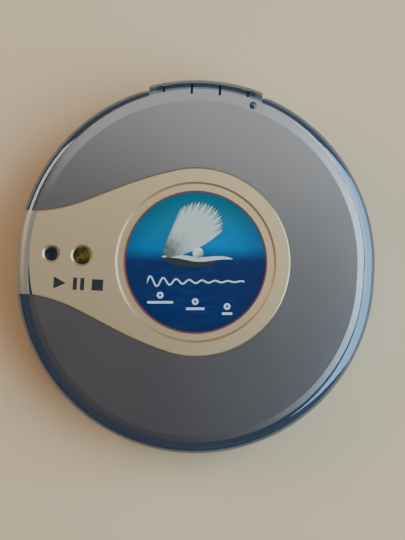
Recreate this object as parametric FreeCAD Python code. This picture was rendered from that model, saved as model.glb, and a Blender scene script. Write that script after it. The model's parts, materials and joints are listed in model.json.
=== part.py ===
import FreeCAD, Part
import math
import os

from FreeCAD import Vector

# Portable disc player. Millimetres, +Z up. Every piece is drawn about the spindle axis, with the
# table at z = 0, the hinge at +Y and the control keys at +X. save() then moves it so that the
# row's origin is the middle of the footprint.

# ---- Footprint -----------------------------------------------------------------------------
body_radius = 67.0        # rounded front and back of the body
front_stretch = 4.6       # the front arc's centre lies this far in front of the spindle
rear_flat = body_radius - 4.6     # flat strip behind the lid
bump_radius = body_radius + 1.2   # outer radius of the lid's hinge bump
bump_half = 21.1          # half the width of the bump
proud = 0.4               # how far keys, cap and knob stand out of the wall

# ---- Heights and walls ---------------------------------------------------------------------
foot_height = 1.0
floor_wall = 1.6
side_wall = 1.8
rim_wall = 1.0            # thinner wall above the ledge that carries the deck
bottom_round = 4.0
lid_gap = 0.3             # parting gap between base and lid
fit = 0.1                 # gap round pieces that drop into a recess
free = 0.3                # gap between pieces that move past each other
running = 0.05            # radial gap of a shaft in its bore
deck_floor = 1.2
deck_rim = 1.6            # height of the deck's rim above the well's floor
lid_depth = 6.8           # from the lid's lower edge to its flat top
lid_roof = 1.8            # shell and painted panel together
lid_wall = 1.5
lid_roll = 4.6            # radius of the rounded rim
lid_crease = body_radius - 7.0    # where the flat top starts to fall towards the rim
lid_fall = 0.25
panel_thickness = 0.7
panel_inset = 4.8         # edge of the painted panel inside the body's outline
panel_stretch = 2.1       # the panel's rear arc has its centre this far behind the spindle
trim_rise = 0.7           # the trim stands this far above the flat top

# ---- Disc and mechanism --------------------------------------------------------------------
disc_radius = 60.0
well_radius = disc_radius + 0.9
disc_lift = 2.1           # underside of the disc above the well's floor
collar_radius = 7.4
platter_radius = 14.2
platter_thickness = 1.5
hub_opening = 15.0
shaft_radius = 1.0
ball_radius = 1.1
ball_travel = 0.45
motor_radius = 12.0
lens_start = 24.0         # lens axis from the spindle with the pickup home
lens_travel = 33.5
lens_radius = 2.0
holder_half = 2.6
focus_travel = 0.5
rod_radius = 1.25
rod_y = 16.5
slot_half = 7.5           # half the width of the deck's pickup slot
gear_module = 0.5
pressure_angle = math.radians(20.0)
backlash = 0.09
rack_tip = 0.75           # addendum of rack and wheel, in modules
feed_pinion_teeth = 14
feed_wheel_teeth = 36
motor_pinion_teeth = 12
feed_x = 21.0
rack_y = 22.4             # pitch line of the rack
rack_spare = 4.0          # rack past the pinion at each end of the travel
motor_bearing = math.radians(60.0)   # direction of the sled motor from the feed gear

# ---- Batteries -----------------------------------------------------------------------------
cell_diameter = 14.5
cell_length = 50.5
cell_gap = 0.2
contact_room = 2.2        # contact at each end of a cell
bay_wall = 1.2
bay_front = 10.4 - body_radius - front_stretch   # front end of the bay
door_thickness = 1.4
door_barrel = 1.0
door_pin = 0.7

# ---- Hinge ---------------------------------------------------------------------------------
hinge_behind = 1.6        # hinge axis behind the rear flat
hinge_drop = 2.3          # hinge axis below the lid's lower edge
barrel_radius = 1.7
pin_radius = 0.8
inner_arm = 4.7           # half the width of the middle lid arm
outer_arm = (16.2, 18.4)
post = (10.5, 15.1)       # base posts, each side of the middle
slot_width = 0.9
slot_places = (-15.6, -5.2, 5.2, 15.6)

# ---- Trim on the lid -----------------------------------------------------------------------
label_radius = 25.9
label_ring = 0.6
label_thickness = 0.3
recess_radius = label_radius + label_ring + 2.5
recess_bevel = 0.8
recess_depth = 0.9
ring_radius = recess_radius + 6.0
band_half = 15.5
band_end_angle = 6.0      # slope of the band's edge where it is band_half from the middle, degrees
flare_angle = 24.5        # slope of its straight stretch
flare_radius = 60.0
shoulder_radius = 134.0
tangent_angle = 105.6     # where the band's edge meets the ring
trim_chamfer = 0.45
cap_gap = 0.03            # joint between the trim and its cap
window_places = ((-53.5, 2.6), (-42.2, 3.3))   # distance along X and radius
window_bevel = 0.8
dot_place = (17.7, 59.2)
dot_radius = 1.35

# ---- Side controls and sockets -------------------------------------------------------------
key_names = ("volume_down_key", "volume_up_key", "previous_key", "next_key", "stop_key", "play_key")
key_pitch = 8.0
key_first = -36.25        # first key along the wall, measured from the front arc's upper end
key_width = 6.4
key_low = 9.4
key_high = 14.6
key_travel = 0.5
key_flange = 2.4          # inner face of a key's flange behind the body's outline
key_panel_arc = (-38.0, 5.0)
panel_low = 7.6
panel_high = 16.4
panel_depth = 0.8
socket_arc = (131.0, 153.0)
headphone_angle = 147.0
line_out_angle = 137.0
dc_angle = 121.0
jack_radius = 1.8
jack_length = 12.0
jack_half = 3.2
dc_radius = 2.8
dc_length = 9.0
dc_pin_radius = 0.8
knob_x = (0.5, 10.9)
knob_slot_x = (-4.7, 11.3)
knob_travel = 4.0
knob_low = 14.3
knob_high = 17.1
knob_seat = 1.3 - body_radius - front_stretch    # flat that the knob slides on
neck_x = (3.7, 7.7)       # neck between the knob and the latch bar
neck_z = (15.2, 16.2)
hook_x = (12.6, 15.0)
hook_y = (4.4 - body_radius - front_stretch, 5.6 - body_radius - front_stretch)
hook_nose = 3.2
plunger_radius = 0.9
plunger_y = hook_y[0] + 1.4
hold_angle = 205.0
hold_travel = 2.0
hold_half = 2.3           # half the width of the hold knob's face
hold_stem = 1.0           # and of its stem
hold_low = 11.4
hold_high = 14.2
led_place = (18.0, 60.0)

# ---- Derived levels ------------------------------------------------------------------------
base_low = foot_height
floor_top = base_low + floor_wall
cell_z = floor_top + cell_gap + cell_diameter / 2
ledge = cell_z + cell_diameter / 2 + 3 * cell_gap
well_floor = ledge + deck_floor
base_top = well_floor + deck_rim
lid_low = base_top + lid_gap
lid_top = lid_low + lid_depth
lid_ceiling = lid_top - lid_roof
panel_low_z = lid_top - panel_thickness
trim_top = lid_top + trim_rise
recess_floor = trim_top - recess_depth
disc_z = well_floor + disc_lift
ball_seat = collar_radius - 0.65
ball_z = disc_z + 1.5
hinge_y = rear_flat + hinge_behind
trim_reach = body_radius - lid_roll - 0.8   # radius at which the trim ends and its cap begins
hinge_z = lid_low - hinge_drop
front_reach = body_radius + front_stretch + proud
frame_shift = (front_reach - bump_radius) / 2
cell_y = tuple(bay_front + cell_gap * 2 + cell_diameter * (k + 0.5) + cell_gap * k for k in (0, 1))
bay_rear = cell_y[1] + cell_diameter / 2 + cell_gap * 2
bay_half = cell_length / 2 + contact_room
door_x = bay_half - 0.4
door_y = (bay_front + 0.6, bay_rear - 1.2)
door_axis_z = base_low + 1.3
latch_back = hook_y[0] - 0.4      # where the knob's neck meets the latch bar
jack_z = (panel_low + panel_high) / 2
screw_places = ((-56.0, -12.0), (-22.0, 55.0), (22.0, 55.0), (50.0, -34.0), (-50.0, -34.0))
foot_places = tuple((sx * 43.0, sy * 41.0) for sx in (-1, 1) for sy in (-1, 1))
far = 200.0

# ---- Mechanism levels ----------------------------------------------------------------------
board_low = floor_top + 1.0
board_top = board_low + 1.2
chassis_low = floor_top + 5.0
chassis_top = chassis_low + 1.2
chassis_x = (-18.0, 60.6)
chassis_y = (-24.0, 40.0)
mount_places = ((-13.0, -19.0), (-13.0, 35.0), (48.0, -21.0), (44.0, 34.0))
motor_top = ledge - 1.3
wheel_low = chassis_top + 1.0
wheel_high = wheel_low + 1.4
pickup_low = wheel_high + 0.6
pickup_high = ledge - 0.7
rod_z = pickup_low + 2.0
pickup_back = -10.0       # back, front and nose of the pickup, from the lens axis
pickup_front = -1.0
pickup_nose = 4.5
feed_pitch = gear_module * feed_pinion_teeth / 2
wheel_pitch = gear_module * feed_wheel_teeth / 2
motor_pitch = gear_module * motor_pinion_teeth / 2
feed_y = rack_y + feed_pitch
sled_x = feed_x + (wheel_pitch + motor_pitch) * math.cos(motor_bearing)
sled_y = feed_y + (wheel_pitch + motor_pitch) * math.sin(motor_bearing)


def box(x0, x1, y0, y1, z0, z1):
    return Part.makeBox(x1 - x0, y1 - y0, z1 - z0, Vector(x0, y0, z0))


def cylinder(radius, z0, z1, x=0.0, y=0.0):
    return Part.makeCylinder(radius, z1 - z0, Vector(x, y, z0))


def rod(radius, x0, x1, y, z):
    return Part.makeCylinder(radius, x1 - x0, Vector(x0, y, z), Vector(1, 0, 0))


def turned(shape, degrees, y=0.0):
    copy = shape.copy()
    copy.rotate(Vector(0, y, 0), Vector(0, 0, 1), degrees)
    return copy


def moved(shape, x, y, z=0.0):
    copy = shape.copy()
    copy.translate(Vector(x, y, z))
    return copy


def fused(shapes):
    return shapes[0].multiFuse(list(shapes[1:])).removeSplitter()


def polar(radius, degrees, z=0.0):
    angle = math.radians(degrees)
    return Vector(radius * math.cos(angle), radius * math.sin(angle), z)


def profile(*points):
    """A face in the XZ plane. A pair is a corner; a pair of pairs is an arc's middle and end."""
    edges = []
    start = points[0]
    for point in list(points[1:]) + [points[0]]:
        if isinstance(point[0], tuple):
            middle, end = point
            arc = Part.Arc(Vector(start[0], 0, start[1]), Vector(middle[0], 0, middle[1]),
                           Vector(end[0], 0, end[1]))
            edges.append(arc.toShape())
        else:
            end = point
            edges.append(Part.makeLine(Vector(start[0], 0, start[1]), Vector(end[0], 0, end[1])))
        start = end
    return Part.Face(Part.Wire(edges))


def quarter(cx, cz, radius, start, end):
    """Middle and end of an arc about (cx, cz), for profile()."""
    middle = math.radians((start + end) / 2)
    last = math.radians(end)
    return ((cx + radius * math.cos(middle), cz + radius * math.sin(middle)),
            (cx + radius * math.cos(last), cz + radius * math.sin(last)))


def stretched(face, back=0.0):
    """Sweep a half section round the body's outline: back arc, straight sides, front arc."""
    axis = Vector(0, 0, 1)
    rear_face = moved(face, 0, back)
    rear = rear_face.revolve(Vector(0, back, 0), axis, 180)
    front_face = moved(face, 0, -front_stretch)
    front = front_face.revolve(Vector(0, -front_stretch, 0), axis, -180)
    right = rear_face.extrude(Vector(0, -front_stretch - back, 0))
    left = right.mirror(Vector(0, 0, 0), Vector(1, 0, 0))
    return fused([rear, front, right, left])


def slab(inset, z0, z1, rear_inset=None):
    """Solid of the body's outline, set in from it, between two heights."""
    radius = body_radius - inset
    solid = stretched(profile((0, z0), (radius, z0), (radius, z1), (0, z1)))
    rear = rear_flat - (inset if rear_inset is None else rear_inset)
    return solid.cut(box(-far, far, rear, far, z0 - 1, z1 + 1))


def strip(r0, r1, z0, z1):
    """Band that follows the side wall between two radii."""
    return stretched(profile((r0, z0), (r1, z0), (r1, z1), (r0, z1)))


def wedge(degrees0, degrees1, z0, z1):
    """Sector about the spindle, for cutting a stretch out of a strip."""
    middle = (degrees0 + degrees1) / 2
    corners = [Vector(0, 0, z0), polar(far, degrees0, z0), polar(far, middle, z0), polar(far, degrees1, z0)]
    face = Part.Face(Part.makePolygon(corners + [corners[0]]))
    return face.extrude(Vector(0, 0, z1 - z0))


def side_place(along):
    """Centre height Y and normal angle of the right wall, at a distance along it."""
    if along < 0:
        return -front_stretch, math.degrees(along / body_radius)
    return along - front_stretch, 0.0


def side_block(along, width, z0, z1):
    y, degrees = side_place(along)
    return turned(box(body_radius / 2, far, y - width / 2, y + width / 2, z0, z1), degrees, y)


def helix_spring(radius, wire, pitch, turns):
    """A coil along +Z from the origin."""
    path = Part.makeHelix(pitch, pitch * turns, radius)
    circle = Part.makeCircle(wire, Vector(radius, 0, 0), Vector(0, 1, 0))
    return Part.Wire(path).makePipeShell([Part.Wire(circle)], True, True)


def involute_angle(radius, base):
    angle = math.acos(min(1.0, base / radius))
    return math.tan(angle) - angle


def gear(teeth, tip, z0, z1, x, y, phase):
    """Spur gear with a tooth centred on the direction given by phase, in radians."""
    pitch = gear_module * teeth / 2
    base = pitch * math.cos(pressure_angle)
    root = pitch - 1.25 * gear_module
    outer = pitch + tip * gear_module
    half = math.pi / (2 * teeth) - backlash / (2 * pitch) + involute_angle(pitch, base)
    low = max(base, root)
    radii = [low + (outer - low) * k / 4 for k in range(5)]
    flank = [(r, half - involute_angle(r, base)) for r in radii]
    if root < base:
        flank.insert(0, (root, half))
    points = []
    for tooth in range(teeth):
        centre = phase + 2 * math.pi * tooth / teeth
        for r, angle in [(r, -a) for r, a in flank] + list(reversed(flank)):
            points.append(Vector(x + r * math.cos(centre + angle), y + r * math.sin(centre + angle), z0))
    face = Part.Face(Part.makePolygon(points + [points[0]]))
    return face.extrude(Vector(0, 0, z1 - z0))


def soften(shape, size, chosen, chamfer=False):
    edges = [edge for edge in shape.Edges if chosen(edge)]
    return shape.makeChamfer(size, edges) if chamfer else shape.makeFillet(size, edges)


def at_height(z):
    return lambda edge: abs(edge.BoundBox.ZMin - z) < 0.01 and abs(edge.BoundBox.ZMax - z) < 0.01


def upright(edge):
    return edge.BoundBox.ZLength > 0.3 and edge.BoundBox.XLength < 0.01 and edge.BoundBox.YLength < 0.01


def save(name, shape):
    shape = moved(shape, 0, frame_shift)
    bad = [solid for solid in shape.Solids if not solid.isValid()]
    if bad or not shape.Solids:
        raise ValueError(name + " has an invalid solid")
    shape.exportStep("parts/" + name + ".step")


# ---- Outline of the trim -------------------------------------------------------------------
def trim_face(grow, z):
    """The ring with its flared band, each edge moved out by grow."""
    ring = ring_radius + grow
    half = band_half + grow
    shoulder = shoulder_radius + grow
    flare = flare_radius - grow
    touch = math.radians(tangent_angle)
    slope = math.radians(flare_angle)
    end_slope = math.radians(band_end_angle)
    across = (math.cos(touch), math.sin(touch))
    shoulder_centre = tuple(-(shoulder - ring) * part for part in across)

    def on_shoulder(angle):
        return (shoulder_centre[0] - shoulder * math.sin(angle),
                shoulder_centre[1] + shoulder * math.cos(angle))

    top = on_shoulder(slope)
    flare_centre_y = half + flare * math.cos(end_slope)
    low_y = flare_centre_y - flare * math.cos(slope)
    low_x = top[0] - (top[1] - low_y) / math.tan(slope)
    flare_centre_x = low_x - flare * math.sin(slope)

    def on_flare(angle):
        return (flare_centre_x + flare * math.sin(angle), flare_centre_y - flare * math.cos(angle))

    def point(pair, side):
        return Vector(pair[0], side * pair[1], z)

    end = (-1.5 * body_radius, flare_centre_y - flare)

    edges = []
    for side in (1, -1):
        tangent = (ring * across[0], ring * across[1])
        middle = on_shoulder((slope + touch - math.pi / 2) / 2)
        edges.append(Part.Arc(point(tangent, side), point(middle, side), point(top, side)).toShape())
        edges.append(Part.makeLine(point(top, side), point((low_x, low_y), side)))
        edges.append(Part.Arc(point((low_x, low_y), side), point(on_flare(slope / 2), side),
                              point(on_flare(0.0), side)).toShape())
        edges.append(Part.makeLine(point(on_flare(0.0), side), point(end, side)))
    edges.append(Part.makeLine(point(end, 1), point(end, -1)))
    edges.append(Part.Arc(point((ring * across[0], ring * across[1]), 1), Vector(ring, 0, z),
                          point((ring * across[0], ring * across[1]), -1)).toShape())
    return Part.Face(Part.Wire(Part.__sortEdges__(edges)))


# ---- Lid -----------------------------------------------------------------------------------
def lid_section(radius):
    """Half section of the lid's outside for an outline of this radius."""
    roll = radius - lid_roll
    return profile((0, lid_low), (radius, lid_low), (radius, lid_top - lid_fall - lid_roll),
                   quarter(roll, lid_top - lid_fall - lid_roll, lid_roll, 0, 90),
                   (lid_crease, lid_top), (0, lid_top))


def panel_zone(grow=0.0):
    """Space of the painted panel, whose rear edge runs on over the hinge bump."""
    edge = body_radius - panel_inset + grow
    low, high = panel_low_z, lid_top + 5
    return stretched(profile((0, low), (edge, low), (edge, high), (0, high)), panel_stretch)


def lid_outside():
    main = stretched(lid_section(body_radius)).cut(box(-far, far, rear_flat, far, 0, far))
    bump = lid_section(bump_radius).revolve(Vector(0, 0, 0), Vector(0, 0, 1), 360)
    bump = bump.common(box(-bump_half, bump_half, lid_crease / 2, far, 0, far))
    return fused([main, bump])


def lid_hollow():
    inner = body_radius - lid_wall
    roll = lid_roll - lid_wall / 2
    low = lid_low - 1
    section = profile((0, low), (inner, low), (inner, lid_ceiling - roll),
                      quarter(inner - roll, lid_ceiling - roll, roll, 0, 90), (0, lid_ceiling))
    main = stretched(section).cut(box(-far, far, rear_flat - lid_wall, far, 0, far))
    reach = bump_radius - lid_wall
    bump = cylinder(reach, low, lid_ceiling - 1.0)
    bump = bump.common(box(-bump_half + lid_wall, bump_half - lid_wall, lid_crease / 2, far, 0, far))
    return main.fuse(bump)


def hinge_slots(z0, z1):
    rear = hinge_y + hinge_behind + 0.3
    slots = [box(x - slot_width / 2, x + slot_width / 2, rear_flat - 0.2, rear, z0, z1) for x in slot_places]
    return fused(slots)


def make_lid_shell():
    shell = lid_outside().cut(lid_hollow()).cut(panel_zone(fit / 2))
    return shell.cut(hinge_slots(lid_ceiling - 2, lid_top + 1))


def make_lid_panel():
    panel = lid_outside().common(panel_zone())
    trim_cut = trim_face(0.15, panel_low_z - 1).extrude(Vector(0, 0, 5))
    cap_cut = box(-far, -trim_reach * 0.9, -band_half - 0.15, band_half + 0.15, panel_low_z - 1, far)
    dot = cylinder(dot_radius, panel_low_z - 1, lid_top + 1, *dot_place)
    return panel.cut(trim_cut).cut(cap_cut).cut(dot).cut(hinge_slots(panel_low_z - 1, lid_top + 1))


def on_band_edge(edge):
    """Top edges of the trim, but not its outer end, where the cap carries on."""
    middle = edge.valueAt((edge.FirstParameter + edge.LastParameter) / 2)
    return at_height(trim_top)(edge) and math.hypot(middle.x, middle.y) < trim_reach - 0.05


def make_trim_plate():
    plate = trim_face(0.0, panel_low_z).extrude(Vector(0, 0, trim_top - panel_low_z))
    plate = plate.common(cylinder(trim_reach, panel_low_z, trim_top))
    plate = soften(plate, trim_chamfer, on_band_edge, chamfer=True)
    bevel = Part.makeCone(recess_radius, recess_radius + recess_bevel, recess_depth,
                          Vector(0, 0, recess_floor))
    plate = plate.cut(bevel)
    for x, radius in window_places:
        plate = plate.cut(cylinder(radius, panel_low_z - 1, trim_top + 1, x))
        cone = Part.makeCone(radius, radius + window_bevel, window_bevel,
                             Vector(x, 0, trim_top - window_bevel))
        plate = plate.cut(cone)
    return plate


def make_trim_cap():
    """The band's end, which rolls over the rim and down the side of the lid."""
    inner = body_radius - lid_roll
    edge = body_radius - panel_inset
    level = lid_top - lid_fall - lid_roll
    low = lid_low + 0.2
    roll = lid_roll + proud + 0.4
    centre = body_radius + proud - roll
    section = profile((trim_reach + cap_gap, panel_low_z), (edge, panel_low_z),
                      (edge, lid_top - 0.8 * lid_fall), (inner, lid_top - lid_fall),
                      quarter(inner, level, lid_roll, 90, 0), (body_radius, low),
                      (body_radius + proud, low), (body_radius + proud, level),
                      quarter(centre, level, roll, 0, 90), (trim_reach + cap_gap, level + roll))
    return stretched(section).common(box(-far, 0, -band_half, band_half, 0, far))


def make_window(x, radius):
    pane = cylinder(radius - fit / 2, panel_low_z, recess_floor + 0.35, x)
    return soften(pane, 0.25, at_height(recess_floor + 0.35))


def make_label_edge_ring():
    ring = cylinder(label_radius + label_ring, recess_floor, recess_floor + label_thickness + 0.15)
    return ring.cut(cylinder(label_radius, recess_floor - 1, trim_top))


def make_lid_hinge_bracket():
    """Plate under the lid's roof with three arms that turn on the hinge pin."""
    spans = [(-inner_arm, inner_arm), outer_arm, (-outer_arm[1], -outer_arm[0])]
    pieces = [box(-outer_arm[1], outer_arm[1], hinge_y - 2.4, hinge_y + 10,
                  lid_ceiling - 2.4, lid_ceiling + 1)]
    for x0, x1 in spans:
        pieces.append(rod(barrel_radius, x0, x1, hinge_y, hinge_z))
        pieces.append(box(x0, x1, hinge_y - 0.9, hinge_y + barrel_radius, hinge_z, lid_ceiling - 2))
    bracket = fused(pieces).cut(rod(pin_radius + running, -far / 2, far / 2, hinge_y, hinge_z))
    inside = cylinder(bump_radius - lid_wall, lid_low, lid_ceiling - 1.0)
    return bracket.common(inside.fuse(cylinder(bump_radius, 0, lid_low)))


def make_lid_hook():
    """Blade that drops through the deck to the latch, on a plate under the lid's roof."""
    blade = box(hook_x[0], hook_x[1], hook_y[0], hook_y[1], knob_low - 0.7, lid_ceiling)
    nose = box(hook_x[0] - hook_nose, hook_x[0], hook_y[0], hook_y[1], knob_low - 0.7, knob_low + 1.1)
    plate = box(hook_x[0] - 5, hook_x[1] + 5, hook_y[0], hook_y[0] + 5, lid_ceiling - 0.9, lid_ceiling)
    hook = fused([blade, nose, plate])
    room = stretched(profile((0, 0), (body_radius - lid_wall - 0.1, 0),
                             (body_radius - lid_wall - 0.1, lid_low), (0, lid_low)))
    return hook.common(room.fuse(lid_hollow()))


# ---- Base ----------------------------------------------------------------------------------
def key_windows(grow):
    blocks = [side_block(key_first + k * key_pitch, key_width + 2 * grow, key_low - grow, key_high + grow)
              for k in range(len(key_names))]
    return fused(blocks)


def panel_strip(arc, inset, grow=0.0):
    band = strip(body_radius - panel_depth - grow, body_radius + inset, panel_low - grow, panel_high + grow)
    turn = math.degrees(grow / body_radius)
    return band.common(wedge(arc[0] - turn, arc[1] + turn, 0, far))


def jack_solid(angle, radius, z, start, length):
    """Cylinder along a radius, its outer end at start + length."""
    direction = polar(1, angle)
    foot = polar(start, angle, z)
    return Part.makeCylinder(radius, length, foot, direction)


def jack_holes():
    reach = body_radius + 5
    holes = [jack_solid(headphone_angle, jack_radius + 0.9, jack_z, 60, reach - 60),
             jack_solid(line_out_angle, jack_radius + 0.9, jack_z, 60, reach - 60),
             jack_solid(dc_angle, dc_radius + 0.4, jack_z, 60, reach - 60)]
    return fused(holes)


def bay_walls():
    top = ledge - 0.2
    walls = [box(sx * bay_half - (bay_wall if sx < 0 else 0), sx * bay_half + (bay_wall if sx > 0 else 0),
                 bay_front - bay_wall, bay_rear + bay_wall, floor_top - 0.5, top) for sx in (-1, 1)]
    walls.append(box(-bay_half, bay_half, bay_rear, bay_rear + bay_wall, floor_top + 2.6, top))
    walls.append(box(-bay_half, bay_half, bay_front - bay_wall, bay_front, floor_top - 0.5, top))
    return walls


def door_opening():
    """The door's rear edge swings past its axis by the axis's height above the underside."""
    rear = door_y[1] + door_axis_z - base_low + free
    return box(-bay_half, bay_half, bay_front + 0.3, rear, 0, floor_top + 0.5)


def hinge_posts():
    posts = []
    for side in (-1, 1):
        x0, x1 = sorted((side * post[0], side * post[1]))
        posts.append(rod(barrel_radius, x0, x1, hinge_y, hinge_z))
        posts.append(box(x0, x1, rear_flat - 0.3, hinge_y, hinge_z - barrel_radius, hinge_z + 1.0))
        rib = profile((0, 0), (hinge_behind + 0.3, 0), (0, -5.0))
        rib = turned(rib, 90)
        rib = moved(rib, x1, rear_flat - 0.3, hinge_z - barrel_radius)
        posts.append(rib.extrude(Vector(x0 - x1, 0, 0)))
    return posts


def arm_pockets():
    spans = [(-inner_arm, inner_arm), outer_arm, (-outer_arm[1], -outer_arm[0])]
    pockets = [box(x0 - free, x1 + free, hinge_y - barrel_radius - free, hinge_y + 5,
                   hinge_z - barrel_radius - free, base_top + 1) for x0, x1 in spans]
    return fused(pockets)


def hold_block(half, travel, r0, r1, z0, z1):
    """Block on the hold knob's centre line, longer by the travel on the side it slides to."""
    return turned(box(r0, r1, -half - front_stretch, half + travel - front_stretch, z0, z1),
                  hold_angle, -front_stretch)


def make_base_shell():
    outer = profile((0, base_low), (body_radius - bottom_round, base_low),
                    quarter(body_radius - bottom_round, base_low + bottom_round, bottom_round, -90, 0),
                    (body_radius, base_top), (0, base_top))
    shell = stretched(outer).cut(box(-far, far, rear_flat, far, 0, far))
    shell = shell.cut(slab(side_wall, floor_top, ledge)).cut(slab(rim_wall, ledge, base_top + 1))
    inside = slab(side_wall - 0.2, floor_top - 0.5, ledge)
    adds = [wall.common(inside) for wall in bay_walls()]
    adds += [cylinder(3.0, floor_top - 0.5, ledge, x, y) for x, y in screw_places]
    adds += [cylinder(2.5, floor_top - 0.5, chassis_low - 1.0, x, y) for x, y in mount_places]
    shell = fused([shell] + adds + hinge_posts())
    cuts = [door_opening(), key_windows(0.25), jack_holes(), arm_pockets(),
            panel_strip(key_panel_arc, 5, fit), panel_strip(socket_arc, 5, fit)]
    cuts += [cylinder(1.1, floor_top - 5, ledge + 1, x, y) for x, y in screw_places]
    cuts += [cylinder(2.6, 0, base_low + 1.2, x, y) for x, y in screw_places]
    cuts += [cylinder(1.0, floor_top, chassis_low, x, y) for x, y in mount_places]
    cuts += [cylinder(4.1, 0, base_low + 0.8, x, y) for x, y in foot_places]
    cuts.append(rod(pin_radius, -far / 2, far / 2, hinge_y, hinge_z))
    cuts.append(rod(door_pin + running, -bay_half - 1.0, bay_half + 1.0, door_y[1], door_axis_z))
    cuts.append(box(knob_slot_x[0], knob_slot_x[1], -far, knob_seat, knob_low - 0.3, knob_high + 0.3))
    cuts.append(box(neck_x[0] - knob_travel - 0.4, neck_x[1] + 0.4, -far, hook_y[1],
                    neck_z[0] - free, neck_z[1] + free))
    cuts.append(hold_block(hold_half + free, hold_travel, body_radius - 1.1, far,
                           hold_low - free, hold_high + free))
    cuts.append(hold_block(hold_stem + free, hold_travel, body_radius - 5, far,
                           hold_low + 0.4, hold_high - 0.4))
    for cut in cuts:
        shell = shell.cut(cut)
    return shell


def make_deck():
    deck = slab(rim_wall + fit, ledge, base_top)
    cuts = [cylinder(well_radius, well_floor, base_top + 1),
            cylinder(hub_opening, ledge - 1, well_floor + 1),
            box(0, lens_start + lens_travel + holder_half + 0.5, -slot_half, slot_half,
                ledge - 1, well_floor + 1),
            box(hook_x[0] - hook_nose - 0.4, hook_x[1] + 0.5, hook_y[0] - 0.6, hook_y[1] + 0.6,
                ledge - 1, far),
            cylinder(1.0, ledge - 1, base_top + 1, *led_place)]
    cuts += [cylinder(10.0, well_floor, base_top + 1, *polar(54.0, angle)[:2]) for angle in (-42, -138)]
    cuts += [cylinder(1.1, ledge - 1, ledge + 0.8, x, y) for x, y in screw_places]
    for cut in cuts:
        deck = deck.cut(cut)
    return deck


def make_socket_panel():
    holes = fused([jack_solid(angle, jack_radius + 0.4, jack_z, body_radius / 2, body_radius)
                   for angle in (headphone_angle, line_out_angle)])
    return panel_strip(socket_arc, 0.0).cut(holes)


def make_key_panel():
    return panel_strip(key_panel_arc, proud / 2).cut(key_windows(0.15))


def make_jack(angle):
    """Audio socket: a bored block with a collar that fills the wall's hole."""
    outer = body_radius - panel_depth - 0.1
    direction = turned(box(outer - jack_length - 1, outer - side_wall + 0.4, -jack_half, jack_half,
                           board_top, jack_z + jack_half), angle)
    collar = jack_solid(angle, jack_radius + 0.8, jack_z, outer - 3, 3)
    bore = jack_solid(angle, jack_radius, jack_z, outer - jack_length, jack_length + 1)
    return fused([direction, collar]).cut(bore)


def make_dc_jack():
    outer = body_radius - 0.3
    body = turned(box(outer - dc_length - 2, outer - side_wall - 0.2, -4.2, 4.2,
                      board_top, jack_z + 4.2), dc_angle)
    collar = jack_solid(dc_angle, dc_radius + 0.35, jack_z, outer - 3, 3)
    bore = jack_solid(dc_angle, dc_radius, jack_z, outer - dc_length, dc_length + 1)
    pin = jack_solid(dc_angle, dc_pin_radius, jack_z, outer - dc_length - 0.5, dc_length - 1)
    return fused([fused([body, collar]).cut(bore), pin])


def make_main_board():
    board = slab(5.2, board_low, board_top)
    board = board.common(box(-far, body_radius - 8.5, bay_rear + bay_wall + 1.0, rear_flat - 6.4, 0, far))
    holes = [cylinder(3.6, 0, far, x, y) for x, y in screw_places]
    holes += [cylinder(3.1, 0, far, x, y) for x, y in mount_places]
    holes.append(cylinder(6.6, 0, far, sled_x, sled_y))
    for hole in holes:
        board = board.cut(hole)
    return board


def make_board_chips():
    """Packages on the main board: place, size and height."""
    packages = ((-34, 2, 14, 14, 1.6), (-34, -16, 10, 7, 1.4), (-14, 16, 8, 12, 1.4), (-30, 22, 9, 6, 1.5),
                (6, 26, 7, 5, 1.2), (-52, 4, 5, 5, 1.2), (30, -18, 8, 5, 1.2), (8, 46, 10, 4, 1.5))
    chips = [box(x - w / 2, x + w / 2, y - d / 2, y + d / 2, board_top, board_top + h)
             for x, y, w, d, h in packages]
    for x, y in ((-46, -10), (-46, -18), (-24, 34), (-16, 46), (24, 47)):
        chips.append(cylinder(2.4, board_top, board_top + 5.4, x, y))
    return Part.makeCompound(chips)


def make_key_switches():
    """Flexible strip behind the keys with a switch for each."""
    reach = body_radius - key_flange - key_travel - 0.1
    band = strip(body_radius - 4.4, body_radius - 4.1, key_low - 0.6, key_high + 0.6)
    band = band.common(wedge(key_panel_arc[0] + 2, key_panel_arc[1] - 2, 0, far))
    solids = [band]
    for k in range(len(key_names)):
        block = side_block(key_first + k * key_pitch, 4.0, key_low + 1, key_high - 1)
        solids.append(strip(body_radius - 4.2, reach, key_low, key_high).common(block))
    return fused(solids)


def make_key(k):
    """Key cap with a flange that the panel holds in."""
    along = key_first + k * key_pitch
    cap = strip(body_radius - panel_depth - 1.2, body_radius + proud, key_low, key_high)
    cap = cap.common(side_block(along, key_width, key_low, key_high))
    flange = strip(body_radius - key_flange, body_radius - side_wall - 0.2, key_low - 1.2, key_high + 1.2)
    flange = flange.common(side_block(along, key_width + 0.9, key_low - 1.2, key_high + 1.2))
    stem = strip(body_radius - 2.2, body_radius - panel_depth - 0.5, key_low + 0.6, key_high - 0.6)
    stem = stem.common(side_block(along, key_width - 1.2, key_low + 0.6, key_high - 0.6))
    return fused([cap, flange, stem])


def make_open_knob():
    """Slider on the front wall, ribbed for a fingertip, with a neck through the wall."""
    outer = strip(body_radius - 3, body_radius + proud, knob_low, knob_high)
    face = outer.common(box(knob_x[0], knob_x[1], -far, knob_seat - free, 0, far))
    for k in range(5):
        x = knob_x[0] + 1.8 + 1.7 * k
        groove = box(x - 0.2, x + 0.2, -far, knob_seat - free - 0.8, knob_low + 0.5, knob_high - 0.5)
        face = face.cut(groove.common(outer.cut(strip(0, body_radius + proud - 0.25, 0, far))))
    neck = box(neck_x[0], neck_x[1], knob_seat - free - 0.1, latch_back, neck_z[0], neck_z[1])
    return fused([face, neck])


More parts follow.
